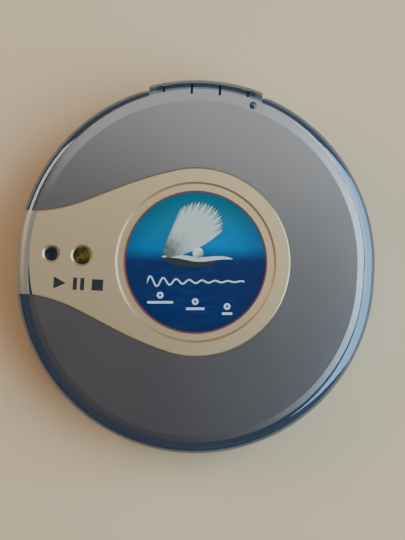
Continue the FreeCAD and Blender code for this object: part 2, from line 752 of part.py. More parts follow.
def make_latch_bar():
    low = knob_low - 0.1
    bar = box(-2.0, hook_x[0] - hook_nose - 0.4, latch_back, hook_y[1], low, knob_high - 0.1)
    tongue = box(hook_x[0] - hook_nose - 0.5, hook_x[0] - 0.4, latch_back, hook_y[1],
                 knob_low + 1.4, knob_high - 0.1)
    return fused([bar, tongue])


def make_latch_spring():
    spring = helix_spring(0.9, 0.2, 1.1, 7)
    spring.rotate(Vector(0, 0, 0), Vector(0, 1, 0), -90)
    return moved(spring, -2.4, (hook_y[0] + hook_y[1]) / 2 - 0.2, (knob_low + knob_high) / 2)


def make_lid_switch_body():
    x = (hook_x[0] + hook_x[1]) / 2
    body = box(x - 3.0, x + 3.0, hook_y[0], hook_y[0] + 3.8, floor_top, knob_low - 1.6)
    return body.cut(cylinder(plunger_radius + fit, floor_top + 2, far, x, plunger_y))


def make_lid_switch_plunger():
    x = (hook_x[0] + hook_x[1]) / 2
    return cylinder(plunger_radius, knob_low - 4.4, knob_low - 1.1, x, plunger_y)


def make_hinge_springs():
    springs = []
    turns = 5
    wire = 0.2
    length = post[0] - inner_arm - 2 * free - 2 * wire
    for side in (-1, 1):
        coil = helix_spring(barrel_radius - 2 * wire, wire, length / turns, turns)
        coil.rotate(Vector(0, 0, 0), Vector(0, 1, 0), 90)
        start = inner_arm + free + wire if side > 0 else -inner_arm - free - wire - length
        springs.append(moved(coil, start, hinge_y, hinge_z))
    return Part.makeCompound(springs)


# ---- Batteries -----------------------------------------------------------------------------
def make_battery_cells():
    cells = []
    for k, y in enumerate(cell_y):
        side = 1 if k == 0 else -1
        can = rod(cell_diameter / 2, -cell_length / 2 + 0.7, cell_length / 2 - 0.8, y, cell_z)
        can = soften(can, 0.8, lambda edge: edge.Curve.TypeId == "Part::GeomCircle")
        nub_start = cell_length / 2 - 0.9 if side > 0 else -cell_length / 2 - 0.0
        cap_start = -cell_length / 2 + 0.0 if side > 0 else cell_length / 2 - 0.9
        nub = rod(2.7, nub_start, nub_start + 0.9, y, cell_z)
        cap = rod(4.6, cap_start, cap_start + 0.9, y, cell_z)
        cells.append(fused([can, nub, cap]))
    return Part.makeCompound(cells)


def make_battery_contacts():
    plate = 0.3
    coil_wire = 0.28
    solids = []
    for k, y in enumerate(cell_y):
        side = -1 if k == 0 else 1
        axis = Vector(side, 0, 0)
        start = cell_length / 2 + coil_wire + 0.05
        rings = [Part.makeTorus(2.6 + 0.3 * n, coil_wire, Vector(side * (start + 0.42 * n), y, cell_z), axis)
                 for n in range(4)]
        solids.append(fused(rings))
    for side in (-1, 1):
        x0, x1 = sorted((side * (bay_half - plate), side * bay_half))
        solids.append(box(x0, x1, cell_y[0] - 5, cell_y[1] + 5, cell_z - 5, cell_z + 5))
    return Part.makeCompound(solids)


def make_battery_door():
    low, high = base_low, base_low + door_thickness
    plate = box(-door_x, door_x, door_y[0], door_y[1], low, high)
    barrel = rod(door_barrel, -door_x, door_x, door_y[1], door_axis_z)
    pins = rod(door_pin, -bay_half - 0.9, bay_half + 0.9, door_y[1], door_axis_z)
    door = fused([plate, barrel, pins])
    for k in range(5):
        y = door_y[0] + 3.0 + 1.4 * k
        door = door.cut(box(-7, 7, y, y + 0.6, low - 1, low + 0.35))
    return door


# ---- Mechanism -----------------------------------------------------------------------------
def make_mech_chassis():
    plate = box(chassis_x[0], chassis_x[1], chassis_y[0], chassis_y[1], chassis_low, chassis_top)
    plate = plate.common(cylinder(62.6, chassis_low, chassis_top))
    adds = []
    for x0, x1 in ((10.8, 13.2), (58.2, 60.2)):
        for side in (-1, 1):
            adds.append(box(x0, x1, side * rod_y - 1.9, side * rod_y + 1.9, chassis_top - 0.2, rod_z + 2.1))
    adds.append(cylinder(1.0, chassis_top - 0.2, rod_z + 3.4, feed_x, feed_y))
    chassis = fused([plate] + adds)
    cuts = [rod(rod_radius, 12.0, 59.8, side * rod_y, rod_z) for side in (-1, 1)]
    cuts += [cylinder(2.3, chassis_low - 1, chassis_top + 1, x, y) for x, y in mount_places]
    cuts.append(cylinder(1.6, chassis_low - 1, chassis_top + 0.5, sled_x, sled_y))
    cuts.append(box(30, 56, -11, 11, chassis_low - 1, chassis_top + 0.1))
    for cut in cuts:
        chassis = chassis.cut(cut)
    return chassis


def make_damper_grommets():
    grommets = []
    for x, y in mount_places:
        grommet = fused([cylinder(3.4, chassis_low - 1.0, chassis_low, x, y),
                         cylinder(2.2, chassis_low - 0.5, chassis_top + 0.5, x, y),
                         cylinder(3.4, chassis_top, chassis_top + 0.9, x, y)])
        grommets.append(grommet.cut(cylinder(1.1, 0, far, x, y)))
    return Part.makeCompound(grommets)


def cross_slot(x, y, z, size):
    return fused([box(x - size, x + size, y - 0.3, y + 0.3, z - 0.6, z + 1),
                  box(x - 0.3, x + 0.3, y - size, y + size, z - 0.6, z + 1)])


def make_mech_screws():
    screws = []
    for x, y in mount_places:
        top = chassis_top + 0.9
        screw = fused([cylinder(2.3, top, top + 0.9, x, y), cylinder(0.98, floor_top + 1, top + 0.5, x, y)])
        screws.append(screw.cut(cross_slot(x, y, top + 0.9, 1.3)))
    return Part.makeCompound(screws)


def make_base_screws():
    screws = []
    for x, y in screw_places:
        head = base_low + 1.2
        screw = fused([cylinder(2.4, head - 0.9, head, x, y), cylinder(1.05, head - 0.5, ledge + 0.6, x, y)])
        slot = cross_slot(x, y, head - 0.9, 1.4)
        slot.translate(Vector(0, 0, -0.4))
        screws.append(screw.cut(slot))
    return Part.makeCompound(screws)


def make_spindle_motor():
    can = cylinder(motor_radius, chassis_top, motor_top)
    can = soften(can, 0.8, at_height(motor_top))
    can = can.fuse(cylinder(3.0, motor_top - 0.5, motor_top + 0.6)).removeSplitter()
    return can.cut(cylinder(shaft_radius + running, chassis_top + 0.8, motor_top + 1))


def make_spindle_shaft():
    return cylinder(shaft_radius, chassis_top + 1.0, disc_z + 2.4)


def make_turntable_hub():
    platter_low = disc_z - platter_thickness
    section = profile((shaft_radius, motor_top + 0.9), (3.8, motor_top + 0.9), (3.8, platter_low),
                      (platter_radius, platter_low), (platter_radius, disc_z), (collar_radius, disc_z),
                      (collar_radius, disc_z + 1.9), (collar_radius - 1.6, disc_z + 3.3),
                      (shaft_radius, disc_z + 3.3))
    hub = section.revolve(Vector(0, 0, 0), Vector(0, 0, 1), 360)
    inner = ball_seat - ball_radius - ball_travel - 0.2
    for k in range(3):
        hub = hub.cut(jack_solid(k * 120 + 90, ball_radius + fit, ball_z, inner, 5))
    groove = cylinder(12.6, disc_z - 0.4, disc_z + 0.1).cut(cylinder(12.0, disc_z - 1, disc_z + 1))
    return hub.cut(groove)


def make_hub_ball(k):
    return Part.makeSphere(ball_radius, polar(ball_seat, k * 120 + 90, ball_z))


def make_guide_rods():
    return Part.makeCompound([rod(rod_radius, 12.0, 59.8, side * rod_y, rod_z) for side in (-1, 1)])


def make_pickup_body():
    x0 = lens_start + pickup_back
    x1 = lens_start + pickup_front
    block = box(x0, x1, -rod_y - 3.0, rod_y + 3.0, pickup_low, rod_z + 2.4)
    raised = box(x0, x1, -8.5, 8.5, pickup_low, pickup_high)
    nose = box(x1 - 0.5, lens_start + pickup_nose, -8.5, 8.5, pickup_low, pickup_high)
    nose = soften(nose, 2.0, lambda e: upright(e) and e.BoundBox.XMax > lens_start)
    body = fused([block, raised, nose])
    for side in (-1, 1):
        body = body.cut(rod(rod_radius + running, x0 - 1, x1 + 1, side * rod_y, rod_z))
    well = box(lens_start - 3.4, lens_start + 3.4, -6.4, 6.4, pickup_high - 2.6, far)
    return body.cut(well)


def make_pickup_rack():
    pitch = math.pi * gear_module
    inner = rod_y + 3.0
    root = rack_y - 1.25 * gear_module
    tip = rack_y + rack_tip * gear_module
    lean = math.tan(pressure_angle)
    half = pitch / 4 - backlash / 2
    behind = math.ceil((lens_travel + rack_spare) / pitch)
    ahead = math.ceil(rack_spare / pitch)
    centres = [feed_x + (k + 0.5) * pitch for k in range(-behind, ahead)]
    z0, z1 = rod_z - 0.6, rod_z + 1.6
    points = [Vector(centres[0] - pitch, inner, z0), Vector(centres[0] - pitch, root, z0)]
    low = half + 1.25 * gear_module * lean
    high = half - rack_tip * gear_module * lean
    for x in centres:
        points += [Vector(x - low, root, z0), Vector(x - high, tip, z0)]
        points += [Vector(x + high, tip, z0), Vector(x + low, root, z0)]
    last = centres[-1] + pitch / 2
    points += [Vector(last, root, z0), Vector(last, inner, z0), points[0]]
    bar = Part.Face(Part.makePolygon(points)).extrude(Vector(0, 0, z1 - z0))
    return bar


def make_lens_holder():
    z0 = pickup_high - 2.6 + focus_travel + free
    top = well_floor + 0.3
    holder = box(lens_start - holder_half, lens_start + holder_half, -5.2, 5.2, z0, pickup_high + 0.2)
    turret = Part.makeCone(holder_half, lens_radius + 0.35, top - pickup_high - 0.1,
                           Vector(lens_start, 0, pickup_high + 0.1))
    holder = fused([holder, turret])
    return holder.cut(cylinder(lens_radius, pickup_high - 0.6, far, lens_start))


def make_lens():
    top = well_floor + 0.3
    barrel = cylinder(lens_radius, pickup_high - 0.6, top - 0.5, lens_start)
    dome = Part.makeSphere(4.2, Vector(lens_start, 0, top - 0.1 - 4.2))
    cap = dome.common(cylinder(lens_radius, top - 0.55, top + 1, lens_start))
    return barrel.fuse(cap).removeSplitter()


def make_feed_gear():
    wheel = gear(feed_wheel_teeth, rack_tip, wheel_low, wheel_high, feed_x, feed_y, motor_bearing)
    pinion = gear(feed_pinion_teeth, 1.0, wheel_high - 0.1, rod_z + 2.4, feed_x, feed_y, -math.pi / 2)
    spacer = cylinder(2.6, chassis_top + 0.2, wheel_low + 0.1, feed_x, feed_y)
    whole = fused([wheel, pinion, spacer])
    for k in range(5):
        angle = 72 * k + 20
        centre = polar(5.9, angle)
        whole = whole.cut(cylinder(1.5, wheel_low - 1, wheel_high + 1, feed_x + centre.x, feed_y + centre.y))
    return whole.cut(cylinder(1.0 + running, 0, far, feed_x, feed_y))


def make_motor_pinion():
    phase = motor_bearing + math.pi + math.pi / motor_pinion_teeth
    pinion = gear(motor_pinion_teeth, 1.0, wheel_low - 0.1, wheel_high + 0.1, sled_x, sled_y, phase)
    shaft = cylinder(0.75, floor_top + 1.2, wheel_high + 0.6, sled_x, sled_y)
    return fused([pinion, shaft])


def make_sled_motor():
    can = cylinder(6.0, floor_top + 0.3, chassis_low, sled_x, sled_y)
    boss = cylinder(1.5, chassis_low - 0.1, chassis_top, sled_x, sled_y)
    return fused([can, boss]).cut(cylinder(0.75 + running, floor_top + 1.0, far, sled_x, sled_y))


def make_limit_switch():
    """Leaf switch that the pickup meets at its inner end."""
    body = box(11.0, 16.0, -23.6, -20.2, chassis_top, chassis_top + 3.6)
    return fused([body, box(13.8, 14.2, -23.0, -20.6, chassis_top + 3.5, chassis_top + 6.5)])


def make_status_led():
    led = cylinder(0.9, ledge + 0.6, base_top + 0.2, *led_place)
    led = soften(led, 0.5, at_height(base_top + 0.2))
    return led


def make_rubber_feet():
    feet = []
    for x, y in foot_places:
        foot = cylinder(4.0, 0, base_low + 0.8, x, y)
        feet.append(soften(foot, 0.5, at_height(0.0)))
    return Part.makeCompound(feet)


def make_hold_knob():
    face = strip(body_radius - 0.8, body_radius + proud, hold_low, hold_high)
    face = face.common(hold_block(hold_half, 0, body_radius - 5, far, 0, far))
    stem = hold_block(hold_stem, 0, body_radius - 3.4, body_radius - 0.5, hold_low + 0.8, hold_high - 0.8)
    return fused([face, stem])


def make_hold_switch_body():
    return hold_block(4.0, 0, body_radius - 6.6, body_radius - 3.6, hold_low - 1.6, hold_high + 1.0)


def main():
    os.makedirs("parts", exist_ok=True)
    save("base_shell", make_base_shell())
    save("deck", make_deck())
    save("socket_panel", make_socket_panel())
    save("key_panel", make_key_panel())
    save("headphone_jack", make_jack(headphone_angle))
    save("line_out_jack", make_jack(line_out_angle))
    save("dc_jack", make_dc_jack())
    save("main_board", make_main_board())
    save("board_chips", make_board_chips())
    save("key_switches", make_key_switches())
    for k, name in enumerate(key_names):
        save(name, make_key(k))
    save("battery_cells", make_battery_cells())
    save("battery_contacts", make_battery_contacts())
    save("battery_door", make_battery_door())
    save("mech_chassis", make_mech_chassis())
    save("damper_grommets", make_damper_grommets())
    save("mech_screws", make_mech_screws())
    save("base_screws", make_base_screws())
    save("spindle_motor", make_spindle_motor())
    save("spindle_shaft", make_spindle_shaft())
    save("turntable_hub", make_turntable_hub())
    for k in range(3):
        save("hub_ball_" + str(k + 1), make_hub_ball(k))
    save("guide_rods", make_guide_rods())
    save("pickup_body", make_pickup_body())
    save("pickup_rack", make_pickup_rack())
    save("lens_holder", make_lens_holder())
    save("lens", make_lens())
    save("feed_gear", make_feed_gear())
    save("motor_pinion", make_motor_pinion())
    save("sled_motor", make_sled_motor())
    save("limit_switch", make_limit_switch())
    save("status_led", make_status_led())
    save("rubber_feet", make_rubber_feet())
    save("hold_knob", make_hold_knob())
    save("hold_switch_body", make_hold_switch_body())
    save("open_knob", make_open_knob())
    save("latch_bar", make_latch_bar())
    save("latch_spring", make_latch_spring())
    save("lid_switch_body", make_lid_switch_body())
    save("lid_switch_plunger", make_lid_switch_plunger())
    save("hinge_pin", rod(pin_radius, -outer_arm[1] - 0.2, outer_arm[1] + 0.2, hinge_y, hinge_z))
    save("hinge_springs", make_hinge_springs())
    save("lid_shell", make_lid_shell())
    save("lid_panel", make_lid_panel())
    save("lid_hinge_bracket", make_lid_hinge_bracket())
    save("lid_hook", make_lid_hook())
    save("trim_plate", make_trim_plate())
    save("trim_cap", make_trim_cap())
    save("small_window", make_window(*window_places[0]))
    save("large_window", make_window(*window_places[1]))
    save("label_disc", cylinder(label_radius, recess_floor, recess_floor + label_thickness))
    save("label_edge_ring", make_label_edge_ring())


main()
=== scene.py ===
import json
import math

import bmesh
import bpy
from bpy.props import FloatProperty, FloatVectorProperty, IntProperty, PointerProperty
from bpy.types import Operator, Panel, PropertyGroup
from mathutils import Matrix, Vector

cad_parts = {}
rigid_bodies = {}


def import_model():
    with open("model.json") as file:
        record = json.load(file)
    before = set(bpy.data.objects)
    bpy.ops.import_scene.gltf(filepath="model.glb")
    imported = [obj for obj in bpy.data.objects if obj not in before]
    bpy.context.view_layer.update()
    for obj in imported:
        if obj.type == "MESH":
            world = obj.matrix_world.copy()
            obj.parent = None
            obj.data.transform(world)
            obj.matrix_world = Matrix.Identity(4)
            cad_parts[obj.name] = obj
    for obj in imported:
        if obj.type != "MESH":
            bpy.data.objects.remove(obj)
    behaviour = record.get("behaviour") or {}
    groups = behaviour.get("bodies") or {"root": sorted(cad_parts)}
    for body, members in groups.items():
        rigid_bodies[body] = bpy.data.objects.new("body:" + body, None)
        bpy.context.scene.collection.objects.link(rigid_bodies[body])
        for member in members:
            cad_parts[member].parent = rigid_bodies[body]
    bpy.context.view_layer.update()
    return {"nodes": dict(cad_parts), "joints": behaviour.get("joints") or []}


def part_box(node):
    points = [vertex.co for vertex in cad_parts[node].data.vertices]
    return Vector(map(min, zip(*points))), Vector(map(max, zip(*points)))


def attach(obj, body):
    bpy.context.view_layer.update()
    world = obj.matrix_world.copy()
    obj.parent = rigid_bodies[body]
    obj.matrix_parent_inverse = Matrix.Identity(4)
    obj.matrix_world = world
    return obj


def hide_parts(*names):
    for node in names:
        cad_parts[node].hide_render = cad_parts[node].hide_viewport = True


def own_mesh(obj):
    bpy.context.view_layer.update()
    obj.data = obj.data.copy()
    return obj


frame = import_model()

bl_info = {
    "name": "Portable Disc Player",
    "version": (1, 0, 0),
    "blender": (4, 5, 0),
    "location": "View3D > Sidebar > Disc Player",
    "description": "Finishes, label art and studio for a round portable disc player",
    "category": "Object",
}

MM = 0.001
PER_METRE = 1000.0


# ---- Places taken from the frame ------------------------------------------------------------
def middle(node):
    low, high = (Vector(corner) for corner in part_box(node))
    return (low + high) / 2


def top(node):
    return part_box(node)[1][2]


def radius_of(node):
    low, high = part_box(node)
    return (high[0] - low[0]) / 2


SPINDLE = middle("label_disc")
SPINDLE_MM = (SPINDLE.x / MM, SPINDLE.y / MM)
SPINDLE_AXIS = (*SPINDLE_MM, 0.0)
FAN_ROOT = (-12.5, 2.0)


# ---- Shader maths ---------------------------------------------------------------------------
class Wire:
    """A socket of a material's nodes, written as an ordinary number in an expression."""

    def __init__(self, finish, socket):
        self.finish = finish
        self.socket = socket

    def maths(self, operation, *values):
        return self.finish.node("ShaderNodeMath", {"operation": operation}, dict(enumerate(values)))

    def __add__(self, other):
        return self.maths("ADD", self, other)

    def __radd__(self, other):
        return self.maths("ADD", other, self)

    def __sub__(self, other):
        return self.maths("SUBTRACT", self, other)

    def __rsub__(self, other):
        return self.maths("SUBTRACT", other, self)

    def __mul__(self, other):
        return self.maths("MULTIPLY", self, other)

    def __rmul__(self, other):
        return self.maths("MULTIPLY", other, self)

    def __abs__(self):
        return self.maths("ABSOLUTE", self)

    def low(self, other):
        return self.maths("MINIMUM", self, other)

    def high(self, other):
        return self.maths("MAXIMUM", self, other)

    def root(self):
        return self.maths("SQRT", self)

    def sine(self):
        return self.maths("SINE", self)

    def ramp(self, start, end):
        """0 below start, 1 above end, smooth between."""
        settings = {"interpolation_type": "SMOOTHSTEP"}
        return self.finish.node("ShaderNodeMapRange", settings, {0: self, 1: start, 2: end, 3: 0.0, 4: 1.0})


class Finish:
    """One material: a Principled shader and the nodes that vary it."""

    def __init__(self, name, color, roughness, **sockets):
        self.material = bpy.data.materials.new(name)
        self.material.use_nodes = True
        self.tree = self.material.node_tree
        self.shader = self.tree.nodes["Principled BSDF"]
        self.color = tuple(color[:3]) + (1.0,)
        self.set("Base Color", self.color)
        self.set("Roughness", roughness)
        for key, value in sockets.items():
            self.set(key.replace("_", " "), value)
        self.material.diffuse_color = self.color

    def set(self, key, value):
        self.put(self.shader.inputs[key], value)

    def put(self, socket, value):
        if isinstance(value, Wire):
            self.tree.links.new(value.socket, socket)
        else:
            socket.default_value = value

    def node(self, kind, settings=None, inputs=None, output=0):
        node = self.tree.nodes.new(kind)
        for key, value in (settings or {}).items():
            setattr(node, key, value)
        for key, value in (inputs or {}).items():
            self.put(node.inputs[key], value)
        return Wire(self, node.outputs[output])

    def place(self):
        return self.node("ShaderNodeTexCoord", output=3)

    def axes(self, centre=(0.0, 0.0, 0.0)):
        """X, Y and Z in millimetres from a point that is given in millimetres."""
        split = self.node("ShaderNodeSeparateXYZ", None, {0: self.place()})
        outputs = split.socket.node.outputs
        return tuple(Wire(self, outputs[k]) * PER_METRE - centre[k] for k in range(3))

    def stretched_place(self, scale):
        return self.node("ShaderNodeMapping", None, {"Vector": self.place(), "Scale": scale})

    def noise(self, size, detail=2.0, where=None):
        """Soft noise whose patches are about this many millimetres across."""
        inputs = {"Vector": where or self.place(), "Scale": PER_METRE / size, "Detail": detail}
        return self.node("ShaderNodeTexNoise", None, inputs)

    def cells(self, size):
        return self.node("ShaderNodeTexVoronoi", None, {"Vector": self.place(), "Scale": PER_METRE / size})

    def mix(self, factor, first, second):
        inputs = {0: factor, 6: self.rgba(first), 7: self.rgba(second)}
        return self.node("ShaderNodeMix", {"data_type": "RGBA"}, inputs, output=2)

    def rgba(self, color):
        return color if isinstance(color, Wire) else tuple(color[:3]) + (1.0,)

    def shade(self, factor, amount):
        """The base colour made lighter or darker by amount, as factor goes from 1 to 0."""
        light = [min(1.0, c * (1.0 + amount)) for c in self.color[:3]]
        dark = [c * (1.0 - amount) for c in self.color[:3]]
        return self.mix(factor, dark, light)

    def bump(self, height, strength, distance=0.02):
        inputs = {"Height": height, "Strength": strength, "Distance": distance * MM}
        self.set("Normal", self.node("ShaderNodeBump", None, inputs))


def box_distance(x, y, centre, half):
    """Distance outside a box, negative inside it."""
    return (abs(x - centre[0]) - half[0]).high(abs(y - centre[1]) - half[1])


def triangle_distance(x, y, centre, half, right=True):
    """Signed distance to an isosceles triangle that points along X."""
    along = x - centre[0] if right else centre[0] - x
    slope = abs(y - centre[1]) * 2.0 + along - half
    return slope.high(-1.0 * along - half) * 0.5


def printed(distance, blur=0.06):
    """1 inside an outline and 0 outside it, with a soft edge."""
    return 1.0 - distance.ramp(-blur, blur)


# ---- Finishes -------------------------------------------------------------------------------
def silver_lacquer(color):
    """Metallic lacquer: fine flake, slow drift in tone and a faint orange peel."""
    finish = Finish("silver_lacquer", color, 0.36, Metallic=0.97, Coat_Weight=0.12, Coat_Roughness=0.25)
    flake = finish.cells(0.35)
    cloud = finish.noise(38.0, 2.0)
    finish.set("Base Color", finish.shade(flake * 0.35 + cloud * 0.65, 0.08))
    finish.set("Roughness", 0.235 + 0.035 * cloud)
    peel = finish.noise(1.8, 1.0)
    finish.bump(peel, 0.008, 0.01)
    return finish


def clear_rim(color, alpha):
    """Tinted clear plastic with a dark backing, polished but for faint haze."""
    finish = Finish("clear_rim", color, 0.06, Metallic=0.75, Alpha=alpha, IOR=1.58, Coat_Weight=0.5,
                    Coat_Roughness=0.04)
    cloud = finish.noise(20.0)
    haze = finish.noise(1.2, 4.0)
    finish.set("Base Color", finish.shade(cloud, 0.12))
    finish.set("Roughness", 0.05 + 0.05 * haze.ramp(0.45, 0.75))
    return finish


def champagne_metal(color, ink):
    """Satin anodised trim with three printed marks: play, pause and stop."""
    finish = Finish("champagne_metal", color, 0.34, Metallic=0.88, Coat_Weight=0.1, Coat_Roughness=0.25)
    grain = finish.noise(0.22, 4.0)
    drift = finish.noise(26.0, 2.0)
    tone = finish.shade(grain * 0.5 + drift * 0.5, 0.09)
    x, y, _ = finish.axes((SPINDLE_MM[0] - 42.8, SPINDLE_MM[1] - 10.6, 0.0))
    play = triangle_distance(x, y, (-7.0, 0.0), 2.3)
    pause = box_distance(abs(x), y, (1.35, 0.0), (0.75, 2.3))
    stop = box_distance(x, y, (7.0, 0.0), (2.1, 2.1))
    ink_mask = printed(play.low(pause).low(stop))
    finish.set("Base Color", finish.mix(ink_mask, tone, ink))
    finish.set("Metallic", 0.82 - 0.82 * ink_mask)
    finish.set("Roughness", 0.30 + 0.10 * grain + 0.12 * ink_mask)
    finish.bump(grain, 0.08, 0.01)
    return finish


def satin_metal(name, color, roughness, metallic=1.0):
    """Metal or metallic paint with a fine grain along Y."""
    finish = Finish(name, color, roughness, Metallic=metallic)
    grain = finish.noise(0.3, 4.0, finish.stretched_place((1.0, 0.08, 1.0)))
    drift = finish.noise(9.0)
    finish.set("Base Color", finish.shade(grain * 0.6 + drift * 0.4, 0.14))
    finish.set("Roughness", roughness - 0.06 + 0.14 * grain)
    finish.bump(grain, 0.06, 0.01)
    return finish


def moulded_plastic(name, color, roughness, grain_size=0.35, grain=0.12, coat=0.0):
    """Injection-moulded plastic: spark-eroded grain, a little drift in tone and rubbed patches."""
    finish = Finish(name, color, roughness, Coat_Weight=coat, Coat_Roughness=0.15)
    texture = finish.noise(grain_size, 3.0)
    drift = finish.noise(24.0, 3.0)
    rub = finish.noise(7.0, 5.0).ramp(0.56, 0.78)
    finish.set("Base Color", finish.shade(texture * 0.35 + drift * 0.5 + rub * 0.15, 0.13))
    finish.set("Roughness", roughness + 0.05 * texture - 0.07 * rub)
    finish.bump(texture, grain, 0.02)
    return finish


def label_print(high, horizon, low, roll):
    """Printed sky over water: three tones down the label, with soft light and faint ripples."""
    finish = Finish("label_print", horizon, 0.42, Coat_Weight=0.1, Coat_Roughness=0.2,
                    Specular_IOR_Level=0.25)
    x, y, _ = finish.axes(SPINDLE_AXIS)
    up = y * math.cos(roll) - x * math.sin(roll)
    across = x * math.cos(roll) + y * math.sin(roll)
    drift = finish.noise(16.0, 2.0)
    sky = finish.mix((up + 3.0 * drift).ramp(5.0, 24.0), horizon, high)
    glow = 1.0 - ((across - 7.0) * (across - 7.0) + (up - 6.0) * (up - 6.0)).root().ramp(1.0, 15.0)
    sky = finish.mix(glow * 0.35, sky, [c * 1.6 for c in horizon])
    sea = finish.mix((up + 2.0 * drift).ramp(-22.0, 0.0), low, [c * 0.9 + 0.002 for c in low])
    whole = finish.mix((up + drift).ramp(0.0, 7.0), sea, sky)
    ripple = finish.noise(1.6, 3.0, finish.stretched_place((0.25, 1.0, 1.0))).ramp(0.4, 0.75)
    edge = (across * across + up * up).root().ramp(17.0, 27.0)
    whole = finish.mix(ripple * 0.14, whole, [c * 0.5 for c in horizon])
    finish.set("Base Color", finish.mix(edge * 0.35, whole, [c * 0.6 for c in low]))
    finish.set("Roughness", 0.40 + 0.08 * ripple)
    return finish


def print_ink(name, color, dark=None):
    """Screen ink, which turns towards the dark colour near the fan's root where one is given."""
    finish = Finish(name, color, 0.42, Coat_Weight=0.5, Coat_Roughness=0.1)
    speck = finish.noise(0.9, 5.0)
    tone = finish.shade(speck, 0.12)
    if dark:
        x, y, _ = finish.axes(SPINDLE_AXIS)
        x, y = x - FAN_ROOT[0], y - FAN_ROOT[1] + 0.5
        away = (x * x + y * y).root()
        mottle = finish.noise(1.7, 5.0) * 9.0
        tone = finish.mix(0.85 - 0.85 * (away + mottle).ramp(6.0, 18.0), tone, dark)
    finish.set("Base Color", tone)
    finish.set("Roughness", 0.36 + 0.12 * speck)
    return finish


def pearl_ink():
    """Glossy ink of the ball, with one side of it in shade."""
    finish = Finish("pearl_ink", (0.62, 0.64, 0.58), 0.22, Coat_Weight=0.8, Coat_Roughness=0.05)
    x, y, _ = finish.axes(SPINDLE_AXIS)
    shadow = (y * 0.7 - x * 0.7 - 1.5).ramp(-2.0, 1.6)
    finish.set("Base Color", finish.mix(shadow, (0.16, 0.15, 0.10), (0.82, 0.84, 0.78)))
    finish.set("Roughness", 0.2 + 0.1 * finish.noise(0.6))
    return finish


def window_glass(name, color, glow):
    """Tinted pane with a paler patch where light comes back from below."""
    finish = Finish(name, color, 0.08, Coat_Weight=1.0, Coat_Roughness=0.03, IOR=1.5)
    cloud = finish.noise(3.2, 3.0)
    finish.set("Base Color", finish.mix(cloud.ramp(0.42, 0.68), color, glow))
    finish.set("Roughness", 0.06 + 0.06 * finish.noise(0.5))
    return finish


def key_lacquer(name, centre, angle, distance_of):
    """Silver key with its mark printed on the outer face."""
    finish = Finish(name, (0.50, 0.52, 0.54), 0.34, Metallic=0.6, Coat_Weight=0.3, Coat_Roughness=0.1)
    flake = finish.cells(0.16)
    x, y, z = finish.axes((centre.x / MM, centre.y / MM, centre.z / MM))
    along = y * math.cos(angle) - x * math.sin(angle)
    mark = printed(distance_of(along, z), 0.08)
    finish.set("Base Color", finish.mix(mark, finish.shade(flake, 0.10), (0.02, 0.02, 0.024)))
    finish.set("Metallic", 0.6 - 0.6 * mark)
    finish.set("Roughness", 0.32 + 0.06 * flake)
    return finish


def circuit_board():
    """Green board with wavy tracks and tinned pads."""
    finish = Finish("circuit_board", (0.012, 0.10, 0.045), 0.4, Coat_Weight=0.3, Coat_Roughness=0.15)
    x, _, _ = finish.axes()
    bend = finish.noise(14.0, 1.0) * 9.0
    tracks = ((x + bend) * 4.0).sine().ramp(0.2, 0.5)
    pads = 1.0 - finish.cells(2.4).ramp(0.10, 0.16)
    tone = finish.mix(tracks, finish.color, (0.02, 0.19, 0.08))
    finish.set("Base Color", finish.mix(pads, tone, (0.62, 0.60, 0.52)))
    finish.set("Metallic", pads * 0.9)
    finish.set("Roughness", 0.42 - 0.12 * pads)
    finish.bump(tracks + pads, 0.3, 0.03)
    return finish


def cell_jacket():
    """Dry cell wrap: two bands of colour along X, bare metal at the ends."""
    finish = Finish("cell_jacket", (0.03, 0.035, 0.04), 0.3, Coat_Weight=0.6, Coat_Roughness=0.08)
    x, _, _ = finish.axes()
    band = x.ramp(9.0, 9.4)
    ends = abs(x).ramp(24.4, 24.5)
    tone = finish.mix(band, finish.shade(finish.noise(6.0), 0.15), (0.42, 0.24, 0.08))
    finish.set("Base Color", finish.mix(ends, tone, (0.62, 0.62, 0.60)))
    finish.set("Metallic", 0.2 + 0.8 * ends)
    finish.set("Roughness", 0.28 + 0.08 * finish.noise(0.8))
    return finish


def turned_metal(name, color, centre, roughness=0.3):
    """Metal with fine rings about an upright axis."""
    finish = Finish(name, color, roughness, Metallic=1.0)
    x, y, _ = finish.axes((centre.x / MM, centre.y / MM, 0.0))
    rings = ((x * x + y * y).root() * 24.0).sine()
    finish.set("Base Color", finish.shade(finish.noise(4.0), 0.10))
    finish.set("Roughness", roughness + 0.06 * rings)
    finish.bump(rings, 0.10, 0.01)
    return finish


def rubber(name="rubber"):
    """Dull black rubber with dust in its grain."""
    finish = Finish(name, (0.022, 0.022, 0.023), 0.72, Sheen_Weight=0.15)
    dust = finish.noise(1.4, 4.0)
    finish.set("Base Color", finish.mix(dust.ramp(0.5, 0.8) * 0.5, finish.color, (0.07, 0.068, 0.065)))
    finish.set("Roughness", 0.66 + 0.16 * dust)
    finish.bump(finish.noise(0.25, 3.0), 0.25, 0.03)
    return finish


def lens_glass():
    """Coated lens with a blue sheen."""
    finish = Finish("lens_glass", (0.05, 0.12, 0.42), 0.04, Coat_Weight=1.0, Coat_Roughness=0.02)
    sheen = finish.noise(1.6, 1.0)
    finish.set("Base Color", finish.mix(sheen.ramp(0.35, 0.65), (0.03, 0.06, 0.30), (0.10, 0.30, 0.62)))
    finish.set("Roughness", 0.03 + 0.03 * sheen)
    return finish


